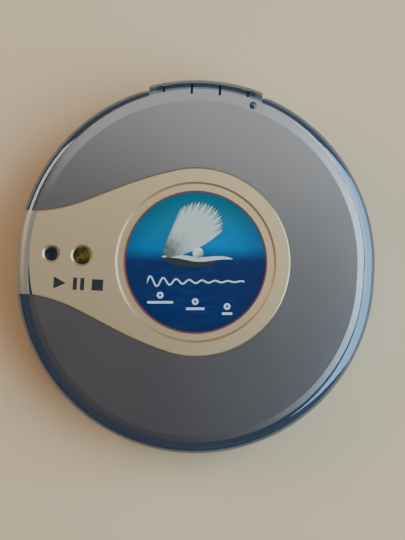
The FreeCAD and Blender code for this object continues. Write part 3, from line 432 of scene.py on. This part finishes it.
def foil_sticker(low, high):
    """Blank silver rating sticker with a printed frame and a fine grain."""
    finish = Finish("foil_sticker", (0.55, 0.56, 0.57), 0.38, Metallic=0.8)
    centre = [(a + b) / 2 / MM for a, b in zip(low, high)]
    half = [(b - a) / 2 / MM for a, b in zip(low, high)]
    x, y, _ = finish.axes((centre[0], centre[1], 0.0))
    outer = box_distance(x, y, (0.0, 0.0), (half[0] - 1.4, half[1] - 1.4))
    line = printed(abs(outer) - 0.16, 0.05)
    grain = finish.noise(0.4, 4.0, finish.stretched_place((0.1, 1.0, 1.0)))
    finish.set("Base Color", finish.mix(line, finish.shade(grain, 0.08), (0.03, 0.03, 0.035)))
    finish.set("Roughness", 0.34 + 0.10 * grain)
    return finish


def dress(finish, *nodes):
    """Give CAD nodes a finish; their meshes stay as they are."""
    for name in nodes:
        for slot in frame["nodes"][name].material_slots:
            slot.material = finish.material


# ---- Mesh building --------------------------------------------------------------------------
class Shape:
    """A mesh under construction, in millimetres about the spindle."""

    def __init__(self, turn=0.0):
        self.bm = bmesh.new()
        self.turn = Matrix.Rotation(turn, 4, "Z")

    def row(self, line, z):
        return [self.bm.verts.new((x, y, z)) for x, y in line]

    def skin(self, rows):
        """Faces between closed rows with the same number of points."""
        for near, far in zip(rows, rows[1:]):
            for k in range(len(near)):
                n = (k + 1) % len(near)
                self.bm.faces.new((near[k], near[n], far[n], far[k]))

    def slab(self, outline, low, high):
        """A closed plate over an outline, given anticlockwise."""
        bottom, upper = self.row(outline, low), self.row(outline, high)
        self.bm.faces.new(bottom[::-1])
        self.bm.faces.new(upper)
        self.skin([bottom, upper])

    def band(self, inner, outer, low, high, closed=True):
        """A closed strip between two matching lines of points."""
        rings = [self.row(line, z) for line, z in ((inner, low), (outer, low), (outer, high), (inner, high))]
        count = len(inner)
        last = count if closed else count - 1
        for k in range(last):
            n = (k + 1) % count
            for a, b in zip(rings, rings[1:] + rings[:1]):
                self.bm.faces.new((a[k], a[n], b[n], b[k]))
        if not closed:
            self.bm.faces.new([ring[0] for ring in rings])
            self.bm.faces.new([ring[-1] for ring in reversed(rings)])

    def lathe(self, section, steps=96):
        """A closed ring of revolution about the spindle from a closed section of (radius, z)."""
        rows = []
        for k in range(steps):
            angle = 2 * math.pi * k / steps
            cos, sin = math.cos(angle), math.sin(angle)
            rows.append([self.bm.verts.new((r * cos, r * sin, z)) for r, z in section])
        self.skin(rows + rows[:1])

    def coil(self, low, high, radius, wire, turns):
        """A compression spring along X between two points, with its end turns closed up."""
        steps, sides, closed = 28, 10, 0.35
        count = int(turns * steps)
        along = Vector((1.0, 0.0, 0.0))
        rings = []
        for k in range(count + 1):
            turn = turns * k / count
            first, last = min(turn, 1.0), max(0.0, turn - turns + 1.0)
            open_turns = max(0.0, min(turn, turns - 1.0) - 1.0)
            share = (closed * (first + last) + open_turns) / (turns - 2.0 + 2.0 * closed)
            x = low.x + wire + (high.x - low.x - 2.0 * wire) * share
            angle = 2.0 * math.pi * turn
            out = Vector((0.0, math.cos(angle), math.sin(angle)))
            centre = Vector((x, low.y, low.z)) + out * radius
            rim = [centre + (out * dy + along * dx) * wire for dy, dx in circle(1.0, sides)]
            rings.append([self.bm.verts.new(point) for point in rim])
        self.skin(rings)
        self.bm.faces.new(rings[0])
        self.bm.faces.new(rings[-1][::-1])

    def finish(self, name, body, finish, slot, height=0.0, smooth=False):
        """Turn the mesh into a piece that rides a body. The height is in metres."""
        bmesh.ops.recalc_face_normals(self.bm, faces=self.bm.faces)
        mesh = bpy.data.meshes.new(name)
        self.bm.to_mesh(mesh)
        self.bm.free()
        mesh.transform(Matrix.Translation((SPINDLE.x, SPINDLE.y, height)) @ Matrix.Scale(MM, 4) @ self.turn)
        mesh.materials.append(finish.material)
        for polygon in mesh.polygons:
            polygon.use_smooth = smooth
        piece = bpy.data.objects.new(name, mesh)
        bpy.context.scene.collection.objects.link(piece)
        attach(piece, body)
        return piece


def circle(radius, steps, cx=0.0, cy=0.0):
    return [(cx + radius * math.cos(2 * math.pi * k / steps), cy + radius * math.sin(2 * math.pi * k / steps))
            for k in range(steps)]


# ---- Geometry Nodes -------------------------------------------------------------------------
class Tree:
    """A Geometry Nodes tree with named inputs."""

    def __init__(self, name, **inputs):
        self.tree = bpy.data.node_groups.new(name, "GeometryNodeTree")
        self.ids = {}
        kinds = {int: "NodeSocketInt", float: "NodeSocketFloat"}
        for key, value in inputs.items():
            socket = self.tree.interface.new_socket(key, in_out="INPUT", socket_type=kinds[type(value)])
            self.ids[key] = socket.identifier
        self.tree.interface.new_socket("Geometry", in_out="OUTPUT", socket_type="NodeSocketGeometry")
        self.values = inputs
        self.source = self.tree.nodes.new("NodeGroupInput")

    def given(self, key):
        return self.source.outputs[key]

    def node(self, kind, settings=None, inputs=None, output=0):
        node = self.tree.nodes.new(kind)
        for key, value in (settings or {}).items():
            setattr(node, key, value)
        for key, value in (inputs or {}).items():
            if isinstance(value, bpy.types.NodeSocket):
                self.tree.links.new(value, node.inputs[key])
            else:
                node.inputs[key].default_value = value
        return node.outputs[output]

    def piece(self, name, geometry, finish, body, slot, height):
        """Realize the tree, turn it into a plain mesh and set it on its body."""
        real = self.node("GeometryNodeRealizeInstances", None, {"Geometry": geometry})
        done = self.node("GeometryNodeSetMaterial", None, {"Geometry": real, "Material": finish.material})
        self.tree.links.new(done, self.tree.nodes.new("NodeGroupOutput").inputs[0])
        piece = bpy.data.objects.new(name, bpy.data.meshes.new(name))
        bpy.context.scene.collection.objects.link(piece)
        modifier = piece.modifiers.new("shape", "NODES")
        modifier.node_group = self.tree
        for key, value in self.values.items():
            modifier[self.ids[key]] = value
        graph = bpy.context.evaluated_depsgraph_get()
        mesh = bpy.data.meshes.new_from_object(piece.evaluated_get(graph))
        piece.modifiers.clear()
        piece.data = mesh
        mesh.transform(Matrix.Translation((SPINDLE.x, SPINDLE.y, height)) @ Matrix.Scale(MM, 4))
        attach(piece, body)
        return piece


def radial_ribs(name, count, radius, length, width, rise, finish, body, slot, height):
    """Ribs that point at the spindle, spaced evenly on a circle. Sizes in millimetres."""
    tree = Tree(name + "_tree", Count=count, Radius=radius, Length=length, Width=width, Rise=rise)
    size = tree.node("ShaderNodeCombineXYZ", None,
                     {0: tree.given("Length"), 1: tree.given("Width"), 2: tree.given("Rise")})
    rib = tree.node("GeometryNodeMeshCube", None, {"Size": size})
    ring = tree.node("GeometryNodeMeshCircle", None,
                     {"Vertices": tree.given("Count"), "Radius": tree.given("Radius")})
    position = tree.node("GeometryNodeInputPosition")
    turn = tree.node("FunctionNodeAlignRotationToVector", {"axis": "X"}, {"Vector": position})
    spread = tree.node("GeometryNodeInstanceOnPoints", None,
                       {"Points": ring, "Instance": rib, "Rotation": turn})
    return tree.piece(name, spread, finish, body, slot, height)


# ---- Settings -------------------------------------------------------------------------------
class LidSettings(PropertyGroup):
    """Colours of the lid."""

    silver: FloatVectorProperty(name="Silver", description="Lacquer of the lid's flat top",
                                subtype="COLOR", size=3, default=(0.41, 0.385, 0.372))
    champagne: FloatVectorProperty(name="Champagne", description="Metal trim",
                                   subtype="COLOR", size=3, default=(0.93, 0.65, 0.36))
    # Cap colour: the champagne trim painted darker and greyer, as painted shade for the cap's sloping side
    cap: FloatVectorProperty(name="Cap", description="Trim's end on the side of the lid",
                             subtype="COLOR", size=3, default=(0.38, 0.34, 0.27))
    rim: FloatVectorProperty(name="Rim", description="Tint of the clear rim",
                             subtype="COLOR", size=3, default=(0.17, 0.22, 0.30))
    rim_alpha: FloatProperty(name="Rim density", description="How much the clear rim hides",
                             min=0.1, max=1.0, default=0.72)


class LabelSettings(PropertyGroup):
    """Colours and sizes of the printed label."""

    sky: FloatVectorProperty(name="Sky", description="Top of the label",
                             subtype="COLOR", size=3, default=(0.0, 0.17, 0.23))
    horizon: FloatVectorProperty(name="Horizon", description="Middle of the label",
                                 subtype="COLOR", size=3, default=(0.003, 0.16, 0.36))
    sea: FloatVectorProperty(name="Sea", description="Bottom of the label",
                             subtype="COLOR", size=3, default=(0.001, 0.016, 0.095))
    petals: IntProperty(name="Petals", description="Blades in the fan", min=3, max=15, default=9)
    span: FloatProperty(name="Fan length", description="Longest blade, mm", min=10.0, max=34.0, default=27.0)


class StageSettings(PropertyGroup):
    """Camera and light."""

    roll: FloatProperty(name="Roll", description="Turn of the camera about its own axis, degrees",
                        default=3.4)
    distance: FloatProperty(name="Distance", description="Camera above the lid", unit="LENGTH", default=0.48)
    view_height: FloatProperty(name="View height", description="Height of the picture at the lid",
                               unit="LENGTH", default=0.200)
    window_power: FloatProperty(name="Window power", description="Light from the right", unit="POWER",
                                default=22.0)
    sky_power: FloatProperty(name="Sky power", description="Light from above the hinge", unit="POWER",
                             default=3.6)


class PlayerSettings(PropertyGroup):
    """Everything a user would change."""

    lid: PointerProperty(type=LidSettings)
    label: PointerProperty(type=LabelSettings)
    stage: PointerProperty(type=StageSettings)


# ---- Operators ------------------------------------------------------------------------------
class PLAYER_OT_stage(Operator):
    """Floor, soft light and the camera"""

    bl_idname = "player.stage"
    bl_label = "Stage"

    def execute(self, context):
        stage = context.scene.disc_player.stage
        self.floor()
        self.world()
        self.light("window", (0.81, 0.04, 0.59), (1.3, 1.35), stage.window_power, (0.50, 0.78, 1.0))
        self.light("sky", (0.16, 0.50, 1.15), (1.6, 0.85), stage.sky_power, (0.95, 1.0, 1.0))
        self.light("room", (-0.80, 0.30, 0.55), (0.6, 0.5), stage.sky_power, (1.0, 0.80, 0.58))
        self.camera(stage)
        return {"FINISHED"}

    def floor(self):
        finish = Finish("pale_floor", (0.88, 0.585, 0.335), 0.6)
        finish.set("Base Color", finish.shade(finish.noise(60.0, 3.0), 0.02))
        reach = 40.0
        mesh = bpy.data.meshes.new("floor")
        corners = [(-reach, -reach, 0), (reach, -reach, 0), (reach, reach, 0), (-reach, reach, 0)]
        mesh.from_pydata(corners, [], [(0, 1, 2, 3)])
        mesh.materials.append(finish.material)
        floor = bpy.data.objects.new("floor", mesh)
        bpy.context.scene.collection.objects.link(floor)

    def world(self):
        world = bpy.data.worlds.new("soft_room")
        bpy.context.scene.world = world
        world.use_nodes = True
        background = world.node_tree.nodes["Background"]
        background.inputs["Color"].default_value = (0.42, 0.36, 0.40, 1.0)
        background.inputs["Strength"].default_value = 0.21

    def light(self, name, place, size, power, color):
        """A rectangular lamp that faces the middle of the player."""
        aim = Vector((0.0, 0.0, 0.02))
        data = bpy.data.lights.new(name, "AREA")
        data.shape = "RECTANGLE"
        data.size, data.size_y = size
        data.energy = power
        data.color = color
        light = bpy.data.objects.new(name, data)
        light.location = place
        light.rotation_euler = (Vector(place) - aim).to_track_quat("Z", "Y").to_euler()
        bpy.context.scene.collection.objects.link(light)

    def camera(self, stage):
        """Straight down on the lid, a little off the spindle and turned by the roll."""
        roll = math.radians(stage.roll)
        shift_right, shift_down = 0.0025, 0.0029
        right = Vector((math.cos(roll), math.sin(roll), 0.0))
        up = Vector((-math.sin(roll), math.cos(roll), 0.0))
        data = bpy.data.cameras.new("camera")
        data.lens = data.sensor_width * stage.distance / stage.view_height
        camera = bpy.data.objects.new("camera", data)
        lid = Vector((SPINDLE.x, SPINDLE.y, top("lid_panel")))
        camera.location = lid + right * shift_right - up * shift_down + Vector((0.0, 0.0, stage.distance))
        camera.rotation_euler = (0.0, 0.0, roll)
        bpy.context.scene.collection.objects.link(camera)
        bpy.context.scene.camera = camera


class PLAYER_OT_lid(Operator):
    """Finishes of the lid: clear rim, lacquered top, trim, cap and windows"""

    bl_idname = "player.lid"
    bl_label = "Lid"

    def execute(self, context):
        lid = context.scene.disc_player.lid
        dress(silver_lacquer(lid.silver), "lid_panel")
        dress(clear_rim(lid.rim, lid.rim_alpha), "lid_shell")
        dress(champagne_metal(lid.champagne, (0.016, 0.014, 0.018)), "trim_plate")
        # Trim cap: a darker, greyer copy of the trim metal, with painted shade for its slope
        dress(satin_metal("cap_shaded_trim", lid.cap, 0.38, 0.55), "trim_cap")
        dress(window_glass("smoke_window", (0.012, 0.013, 0.015), (0.035, 0.038, 0.042)), "small_window")
        dress(window_glass("olive_window", (0.020, 0.017, 0.006), (0.16, 0.13, 0.012)), "large_window")
        dress(moulded_plastic("label_edge", (0.20, 0.045, 0.035), 0.35, 0.5, 0.05, 0.4), "label_edge_ring")
        dress(moulded_plastic("hinge_plastic", (0.020, 0.021, 0.024), 0.42), "lid_hinge_bracket", "lid_hook")
        self.sensor_eye()
        return {"FINISHED"}

    def sensor_eye(self):
        """Dark lens in the small hole near the hinge, a little below the lacquered top."""
        shape = Shape()
        place, radius, thick, crown, steps = (17.7, 59.2), 1.25, 0.5, 0.3, 40
        hole_depth = 0.69
        floor = top("lid_panel") / MM - hole_depth
        rows = [shape.row(circle(radius, steps, *place), floor)]
        for part in (1.0, 0.94, 0.7, 0.35):
            z = floor + thick - crown * part * part
            rows.append(shape.row(circle(radius * part, steps, *place), z))
        shape.skin(rows)
        shape.bm.faces.new(rows[0][::-1])
        shape.bm.faces.new(rows[-1])
        finish = window_glass("eye_glass", (0.018, 0.026, 0.040), (0.030, 0.042, 0.060))
        shape.finish("sensor_eye", "lid", finish, "smoke_window", smooth=True)


class PLAYER_OT_label(Operator):
    """Printed label: sky and water, a fan with a ball, a dying wave and three bar signs"""

    bl_idname = "player.label"
    bl_label = "Label"

    def execute(self, context):
        label = context.scene.disc_player.label
        self.turn = math.radians(context.scene.disc_player.stage.roll)
        dress(label_print(label.sky, label.horizon, label.sea, self.turn), "label_disc")
        self.height = top("label_disc")
        self.fan(label)
        self.hull()
        self.ball()
        self.marks()
        return {"FINISHED"}

    def blade(self, shape, angle, length, low):
        """A leaf from the fan's root, bowed a little upwards."""
        steps, width = 18, 0.068
        left, right = [], []
        for k in range(steps + 1):
            t = k / steps
            reach = 1.5 + (length - 1.5) * t
            bend = angle + 0.14 * (t - 0.5)
            half = width * length * math.sin(math.pi * (0.06 + 0.94 * t) ** 0.8) ** 0.7
            centre = (FAN_ROOT[0] + reach * math.cos(bend), FAN_ROOT[1] + reach * math.sin(bend))
            across = (-math.sin(bend) * half, math.cos(bend) * half)
            left.append((centre[0] + across[0], centre[1] + across[1]))
            right.append((centre[0] - across[0], centre[1] - across[1]))
        shape.slab(right + left[::-1], low, low + 0.02)

    def fan(self, label):
        """Pale blades over a darker set that is turned half a blade further."""
        pale = print_ink("fan_ink", (0.60, 0.60, 0.52), (0.03, 0.045, 0.03))
        shade = print_ink("fan_shade_ink", (0.28, 0.33, 0.32), (0.02, 0.03, 0.02))
        for name, finish, offset, low in (("label_fan_shade", shade, 0.5, 0.01),
                                          ("label_fan", pale, 0.0, 0.03)):
            shape = Shape(self.turn)
            for k in range(label.petals):
                angle = math.radians(20.0 + 42.0 * (k + offset) / (label.petals - 1))
                length = label.span * math.cos((angle - math.radians(36.0)) * 1.5)
                self.blade(shape, angle, length, low + 0.001 * k)
            shape.finish(name, "lid", finish, "label_print", self.height)

    def hull(self):
        """A shallow dark hull under a pale, wavy lip."""
        dark = print_ink("hull_ink", (0.015, 0.022, 0.02))
        pale = print_ink("lip_ink", (0.62, 0.66, 0.62))
        steps = 40
        shape = Shape(self.turn)
        line = [(-13.0 + 22.5 * k / steps, 1.9 - 0.02 * k) for k in range(steps + 1)]
        keel = [(x, y - 3.4 * math.sin(math.pi * k / steps) ** 0.7) for k, (x, y) in enumerate(line)]
        shape.band(keel, line, 0.01, 0.03, closed=False)
        shape.finish("label_hull", "lid", dark, "label_print", self.height)
        shape = Shape(self.turn)
        lower, upper = [], []
        for k in range(steps + 1):
            t = k / steps
            x = -12.6 + 26.2 * t
            y = 2.0 - 1.0 * t + 0.45 * math.sin(9.0 * t)
            half = 0.12 + 0.75 * math.sin(math.pi * t) ** 0.6
            lower.append((x, y - half))
            upper.append((x, y + half))
        shape.band(lower, upper, 0.02, 0.045, closed=False)
        shape.finish("label_lip", "lid", pale, "label_print", self.height)

    def ball(self):
        """A low dome that lies on the hull's lip."""
        shape = Shape(self.turn)
        centre, radius, rise, low = (0.8, 3.4), 2.0, 0.12, 0.045
        rings, steps = 8, 40
        rows = []
        for i in range(rings):
            tilt = math.pi / 2 * i / rings
            ring = circle(radius * math.cos(tilt), steps, *centre)
            rows.append(shape.row(ring, low + rise * math.sin(tilt)))
        tip = shape.bm.verts.new((*centre, low + rise))
        shape.skin(rows)
        for k in range(steps):
            shape.bm.faces.new((rows[-1][k], rows[-1][(k + 1) % steps], tip))
        shape.bm.faces.new(rows[0][::-1])
        shape.finish("label_ball", "lid", pearl_ink(), "label_print", self.height, smooth=True)

    def marks(self):
        """A wave that dies away, and a disc with a bar of its own length three times."""
        shape = Shape(self.turn)
        steps, length, waves, height, decay, half = 180, 36.0, 7.5, 2.1, 2.6, 0.30
        lower, upper = [], []
        for k in range(steps + 1):
            t = k / steps
            x = length * (t - 0.5)
            swing = height * math.exp(-decay * t)
            phase = 2 * math.pi * waves * t
            y = -7.2 + swing * math.sin(phase)
            slope = swing * math.cos(phase) * 2 * math.pi * waves / length
            thick = half * math.sqrt(1 + slope * slope)
            lower.append((x, y - thick))
            upper.append((x, y + thick))
        shape.band(lower, upper, 0.01, 0.03, closed=False)
        for cx, cy, reach in ((-13.2, -12.2, 4.8), (-0.2, -14.6, 3.4), (11.6, -16.4, 1.9)):
            shape.band(circle(0.45, 32, cx, cy), circle(1.25, 32, cx, cy), 0.01, 0.03)
            low, high = cy - 3.1, cy - 2.2
            bar = [(cx - reach, low), (cx + reach, low), (cx + reach, high), (cx - reach, high)]
            shape.slab(bar, 0.01, 0.03)
        white = print_ink("white_ink", (0.66, 0.70, 0.76))
        shape.finish("label_marks", "lid", white, "label_print", self.height)


class PLAYER_OT_base(Operator):
    """Finishes of the base, its panels, sockets, feet and battery bay"""

    bl_idname = "player.base"
    bl_label = "Base"

    def execute(self, context):
        dress(moulded_plastic("base_moulding", (0.055, 0.064, 0.080), 0.34, 0.3, 0.08, 0.3), "base_shell")
        dress(moulded_plastic("door_moulding", (0.050, 0.058, 0.072), 0.38, 0.3, 0.10, 0.2), "battery_door")
        dress(moulded_plastic("deck_moulding", (0.060, 0.064, 0.072), 0.46, 0.28, 0.16), "deck")
        dress(satin_metal("panel_lacquer", (0.42, 0.44, 0.46), 0.36, 0.5), "socket_panel", "key_panel")
        dress(moulded_plastic("socket_plastic", (0.014, 0.014, 0.015), 0.40),
              "headphone_jack", "line_out_jack", "dc_jack", "hold_switch_body", "lid_switch_body",
              "key_switches", "limit_switch")
        dress(satin_metal("knob_lacquer", (0.46, 0.48, 0.50), 0.34, 0.5), "open_knob", "hold_knob")
        dress(moulded_plastic("latch_plastic", (0.03, 0.03, 0.032), 0.45), "latch_bar")
        dress(rubber(), "rubber_feet", "damper_grommets")
        dress(satin_metal("bright_steel", (0.58, 0.58, 0.57), 0.26),
              "hinge_pin", "hinge_springs", "guide_rods", "spindle_shaft", "battery_contacts")
        dress(satin_metal("screw_steel", (0.34, 0.34, 0.35), 0.32), "base_screws", "mech_screws")
        dress(cell_jacket(), "battery_cells")
        self.sticker()
        return {"FINISHED"}

    def sticker(self):
        """Blank foil plate under the base, behind the battery door."""
        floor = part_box("battery_door")[0][2] / MM
        shape = Shape()
        half_x, low_y, high_y, corner = 27.0, 2.0, 26.0, 2.0
        outline = []
        for cx, cy, start in ((half_x - corner, high_y - corner, 0), (corner - half_x, high_y - corner, 90),
                              (corner - half_x, low_y + corner, 180), (half_x - corner, low_y + corner, 270)):
            for k in range(7):
                angle = math.radians(start + 15 * k)
                outline.append((cx + corner * math.cos(angle), cy + corner * math.sin(angle)))
        shape.slab(outline, floor - 0.08, floor + 0.02)
        low = (SPINDLE.x - half_x * MM, SPINDLE.y + low_y * MM)
        high = (SPINDLE.x + half_x * MM, SPINDLE.y + high_y * MM)
        shape.finish("rating_sticker", "player_body", foil_sticker(low, high), "panel_plastic")


class PLAYER_OT_keys(Operator):
    """Keys of the right side with their signs"""

    bl_idname = "player.keys"
    bl_label = "Keys"

    def execute(self, context):
        marks = {"play_key": self.play, "stop_key": self.stop, "next_key": self.skip_on,
                 "previous_key": self.skip_back, "volume_up_key": self.plus, "volume_down_key": self.minus}
        for name, distance_of in marks.items():
            centre = middle(name)
            out = centre - SPINDLE
            angle = math.atan2(out.y, out.x)
            dress(key_lacquer(name.replace("_key", "_mark"), centre, angle, distance_of), name)
        return {"FINISHED"}

    def play(self, x, z):
        return triangle_distance(x, z, (0.0, 0.0), 1.2)

    def stop(self, x, z):
        return box_distance(x, z, (0.0, 0.0), (1.0, 1.0))

    def skip_on(self, x, z):
        return triangle_distance(x, z, (-0.5, 0.0), 1.0).low(box_distance(x, z, (1.0, 0.0), (0.22, 1.0)))

    def skip_back(self, x, z):
        bar = box_distance(x, z, (-1.0, 0.0), (0.22, 1.0))
        return triangle_distance(x, z, (0.5, 0.0), 1.0, right=False).low(bar)

    def minus(self, x, z):
        return box_distance(x, z, (0.0, 0.0), (1.1, 0.24))

    def plus(self, x, z):
        return self.minus(x, z).low(box_distance(x, z, (0.0, 0.0), (0.24, 1.1)))


class PLAYER_OT_mechanism(Operator):
    """Disc drive: hub, pickup, motors, gears and boards"""

    bl_idname = "player.mechanism"
    bl_label = "Mechanism"

    def execute(self, context):
        dress(moulded_plastic("hub_plastic", (0.016, 0.016, 0.018), 0.36, 0.4, 0.06), "turntable_hub")
        dress(satin_metal("ball_chrome", (0.78, 0.78, 0.78), 0.10), "hub_ball_1", "hub_ball_2", "hub_ball_3")
        dress(turned_metal("motor_can", (0.52, 0.52, 0.52), SPINDLE), "spindle_motor")
        dress(turned_metal("sled_motor_can", (0.50, 0.50, 0.48), middle("sled_motor")), "sled_motor")
        dress(satin_metal("chassis_zinc", (0.40, 0.41, 0.42), 0.36), "mech_chassis")
        dress(moulded_plastic("pickup_plastic", (0.020, 0.020, 0.022), 0.48), "pickup_body")
        dress(moulded_plastic("nylon", (0.62, 0.61, 0.56), 0.40, 0.5, 0.05),
              "pickup_rack", "feed_gear", "motor_pinion", "lid_switch_plunger")
        dress(moulded_plastic("holder_plastic", (0.045, 0.045, 0.05), 0.42), "lens_holder")
        dress(lens_glass(), "lens")
        dress(circuit_board(), "main_board")
        dress(moulded_plastic("chip_resin", (0.018, 0.018, 0.019), 0.5, 0.2, 0.2), "board_chips")
        dress(window_glass("led_red", (0.16, 0.008, 0.006), (0.42, 0.03, 0.02)), "status_led")
        self.platter(rubber("platter_rubber"))
        self.latch_coil()
        return {"FINISHED"}

    def latch_coil(self):
        """Spring behind the latch bar, drawn as one fixed coil over the CAD spring's length."""
        low, high = (Vector(corner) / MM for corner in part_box("latch_spring"))
        knob = next(joint for joint in frame["joints"] if joint["name"] == "open_slide")
        travel = knob["range_m"][1] / MM
        free = high.x - low.x
        middle_line = (low + high) / 2 - Vector(SPINDLE_AXIS)
        start, end = middle_line.copy(), middle_line.copy()
        start.x -= free / 2 - 0.03
        end.x += free / 2 - 0.05
        wire, turns = 0.2, 8.0
        shape = Shape()
        shape.coil(start, end, (high.y - low.y) / 2 - wire, wire, turns)
        finish = turned_metal("spring_steel", (0.56, 0.57, 0.59), middle("latch_spring"))
        piece = shape.finish("latch_coil", "player_body", finish, "steel", smooth=True)
        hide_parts("latch_spring")
        (free - travel) / free
        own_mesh(piece)

    def platter(self, finish):
        """Rubber ring on the platter, with a crown of fine ribs under the disc's clamping area."""
        outer = radius_of("turntable_hub") / MM
        seat = middle("hub_ball_1").z / MM - 1.5
        shape = Shape()
        section = [(outer - 4.6, seat - 0.04), (outer - 2.4, seat - 0.04), (outer - 2.4, seat + 0.12),
                   (outer - 2.7, seat + 0.2), (outer - 4.3, seat + 0.2), (outer - 4.6, seat + 0.12)]
        shape.lathe(section)
        shape.finish("platter_ring", "turntable", finish, "rubber")
        count, length, width, rise = 72, 1.3, 0.3, 0.16
        radial_ribs("platter_ribs", count, outer - 1.2, length, width, rise, finish, "turntable", "rubber",
                    seat * MM)


OPERATORS = (PLAYER_OT_stage, PLAYER_OT_lid, PLAYER_OT_label, PLAYER_OT_base, PLAYER_OT_keys,
             PLAYER_OT_mechanism)


class PLAYER_PT_sidebar(Panel):
    """Lists the steps and the settings"""

    bl_idname = "PLAYER_PT_sidebar"
    bl_label = "Disc Player"
    bl_space_type = "VIEW_3D"
    bl_region_type = "UI"
    bl_category = "Disc Player"

    def draw(self, context):
        settings = context.scene.disc_player
        for group in (settings.lid, settings.label, settings.stage):
            box = self.layout.box()
            for key in group.__annotations__:
                box.prop(group, key)
        for operator in OPERATORS:
            self.layout.operator(operator.bl_idname)


CLASSES = (LidSettings, LabelSettings, StageSettings, PlayerSettings) + OPERATORS + (PLAYER_PT_sidebar,)


def register():
    for cls in CLASSES:
        bpy.utils.register_class(cls)
    bpy.types.Scene.disc_player = PointerProperty(type=PlayerSettings)


def unregister():
    del bpy.types.Scene.disc_player
    for cls in reversed(CLASSES):
        bpy.utils.unregister_class(cls)


def main():
    register()
    for operator in OPERATORS:
        group, name = operator.bl_idname.split(".")
        getattr(getattr(bpy.ops, group), name)()


if __name__ == "__main__":
    main()
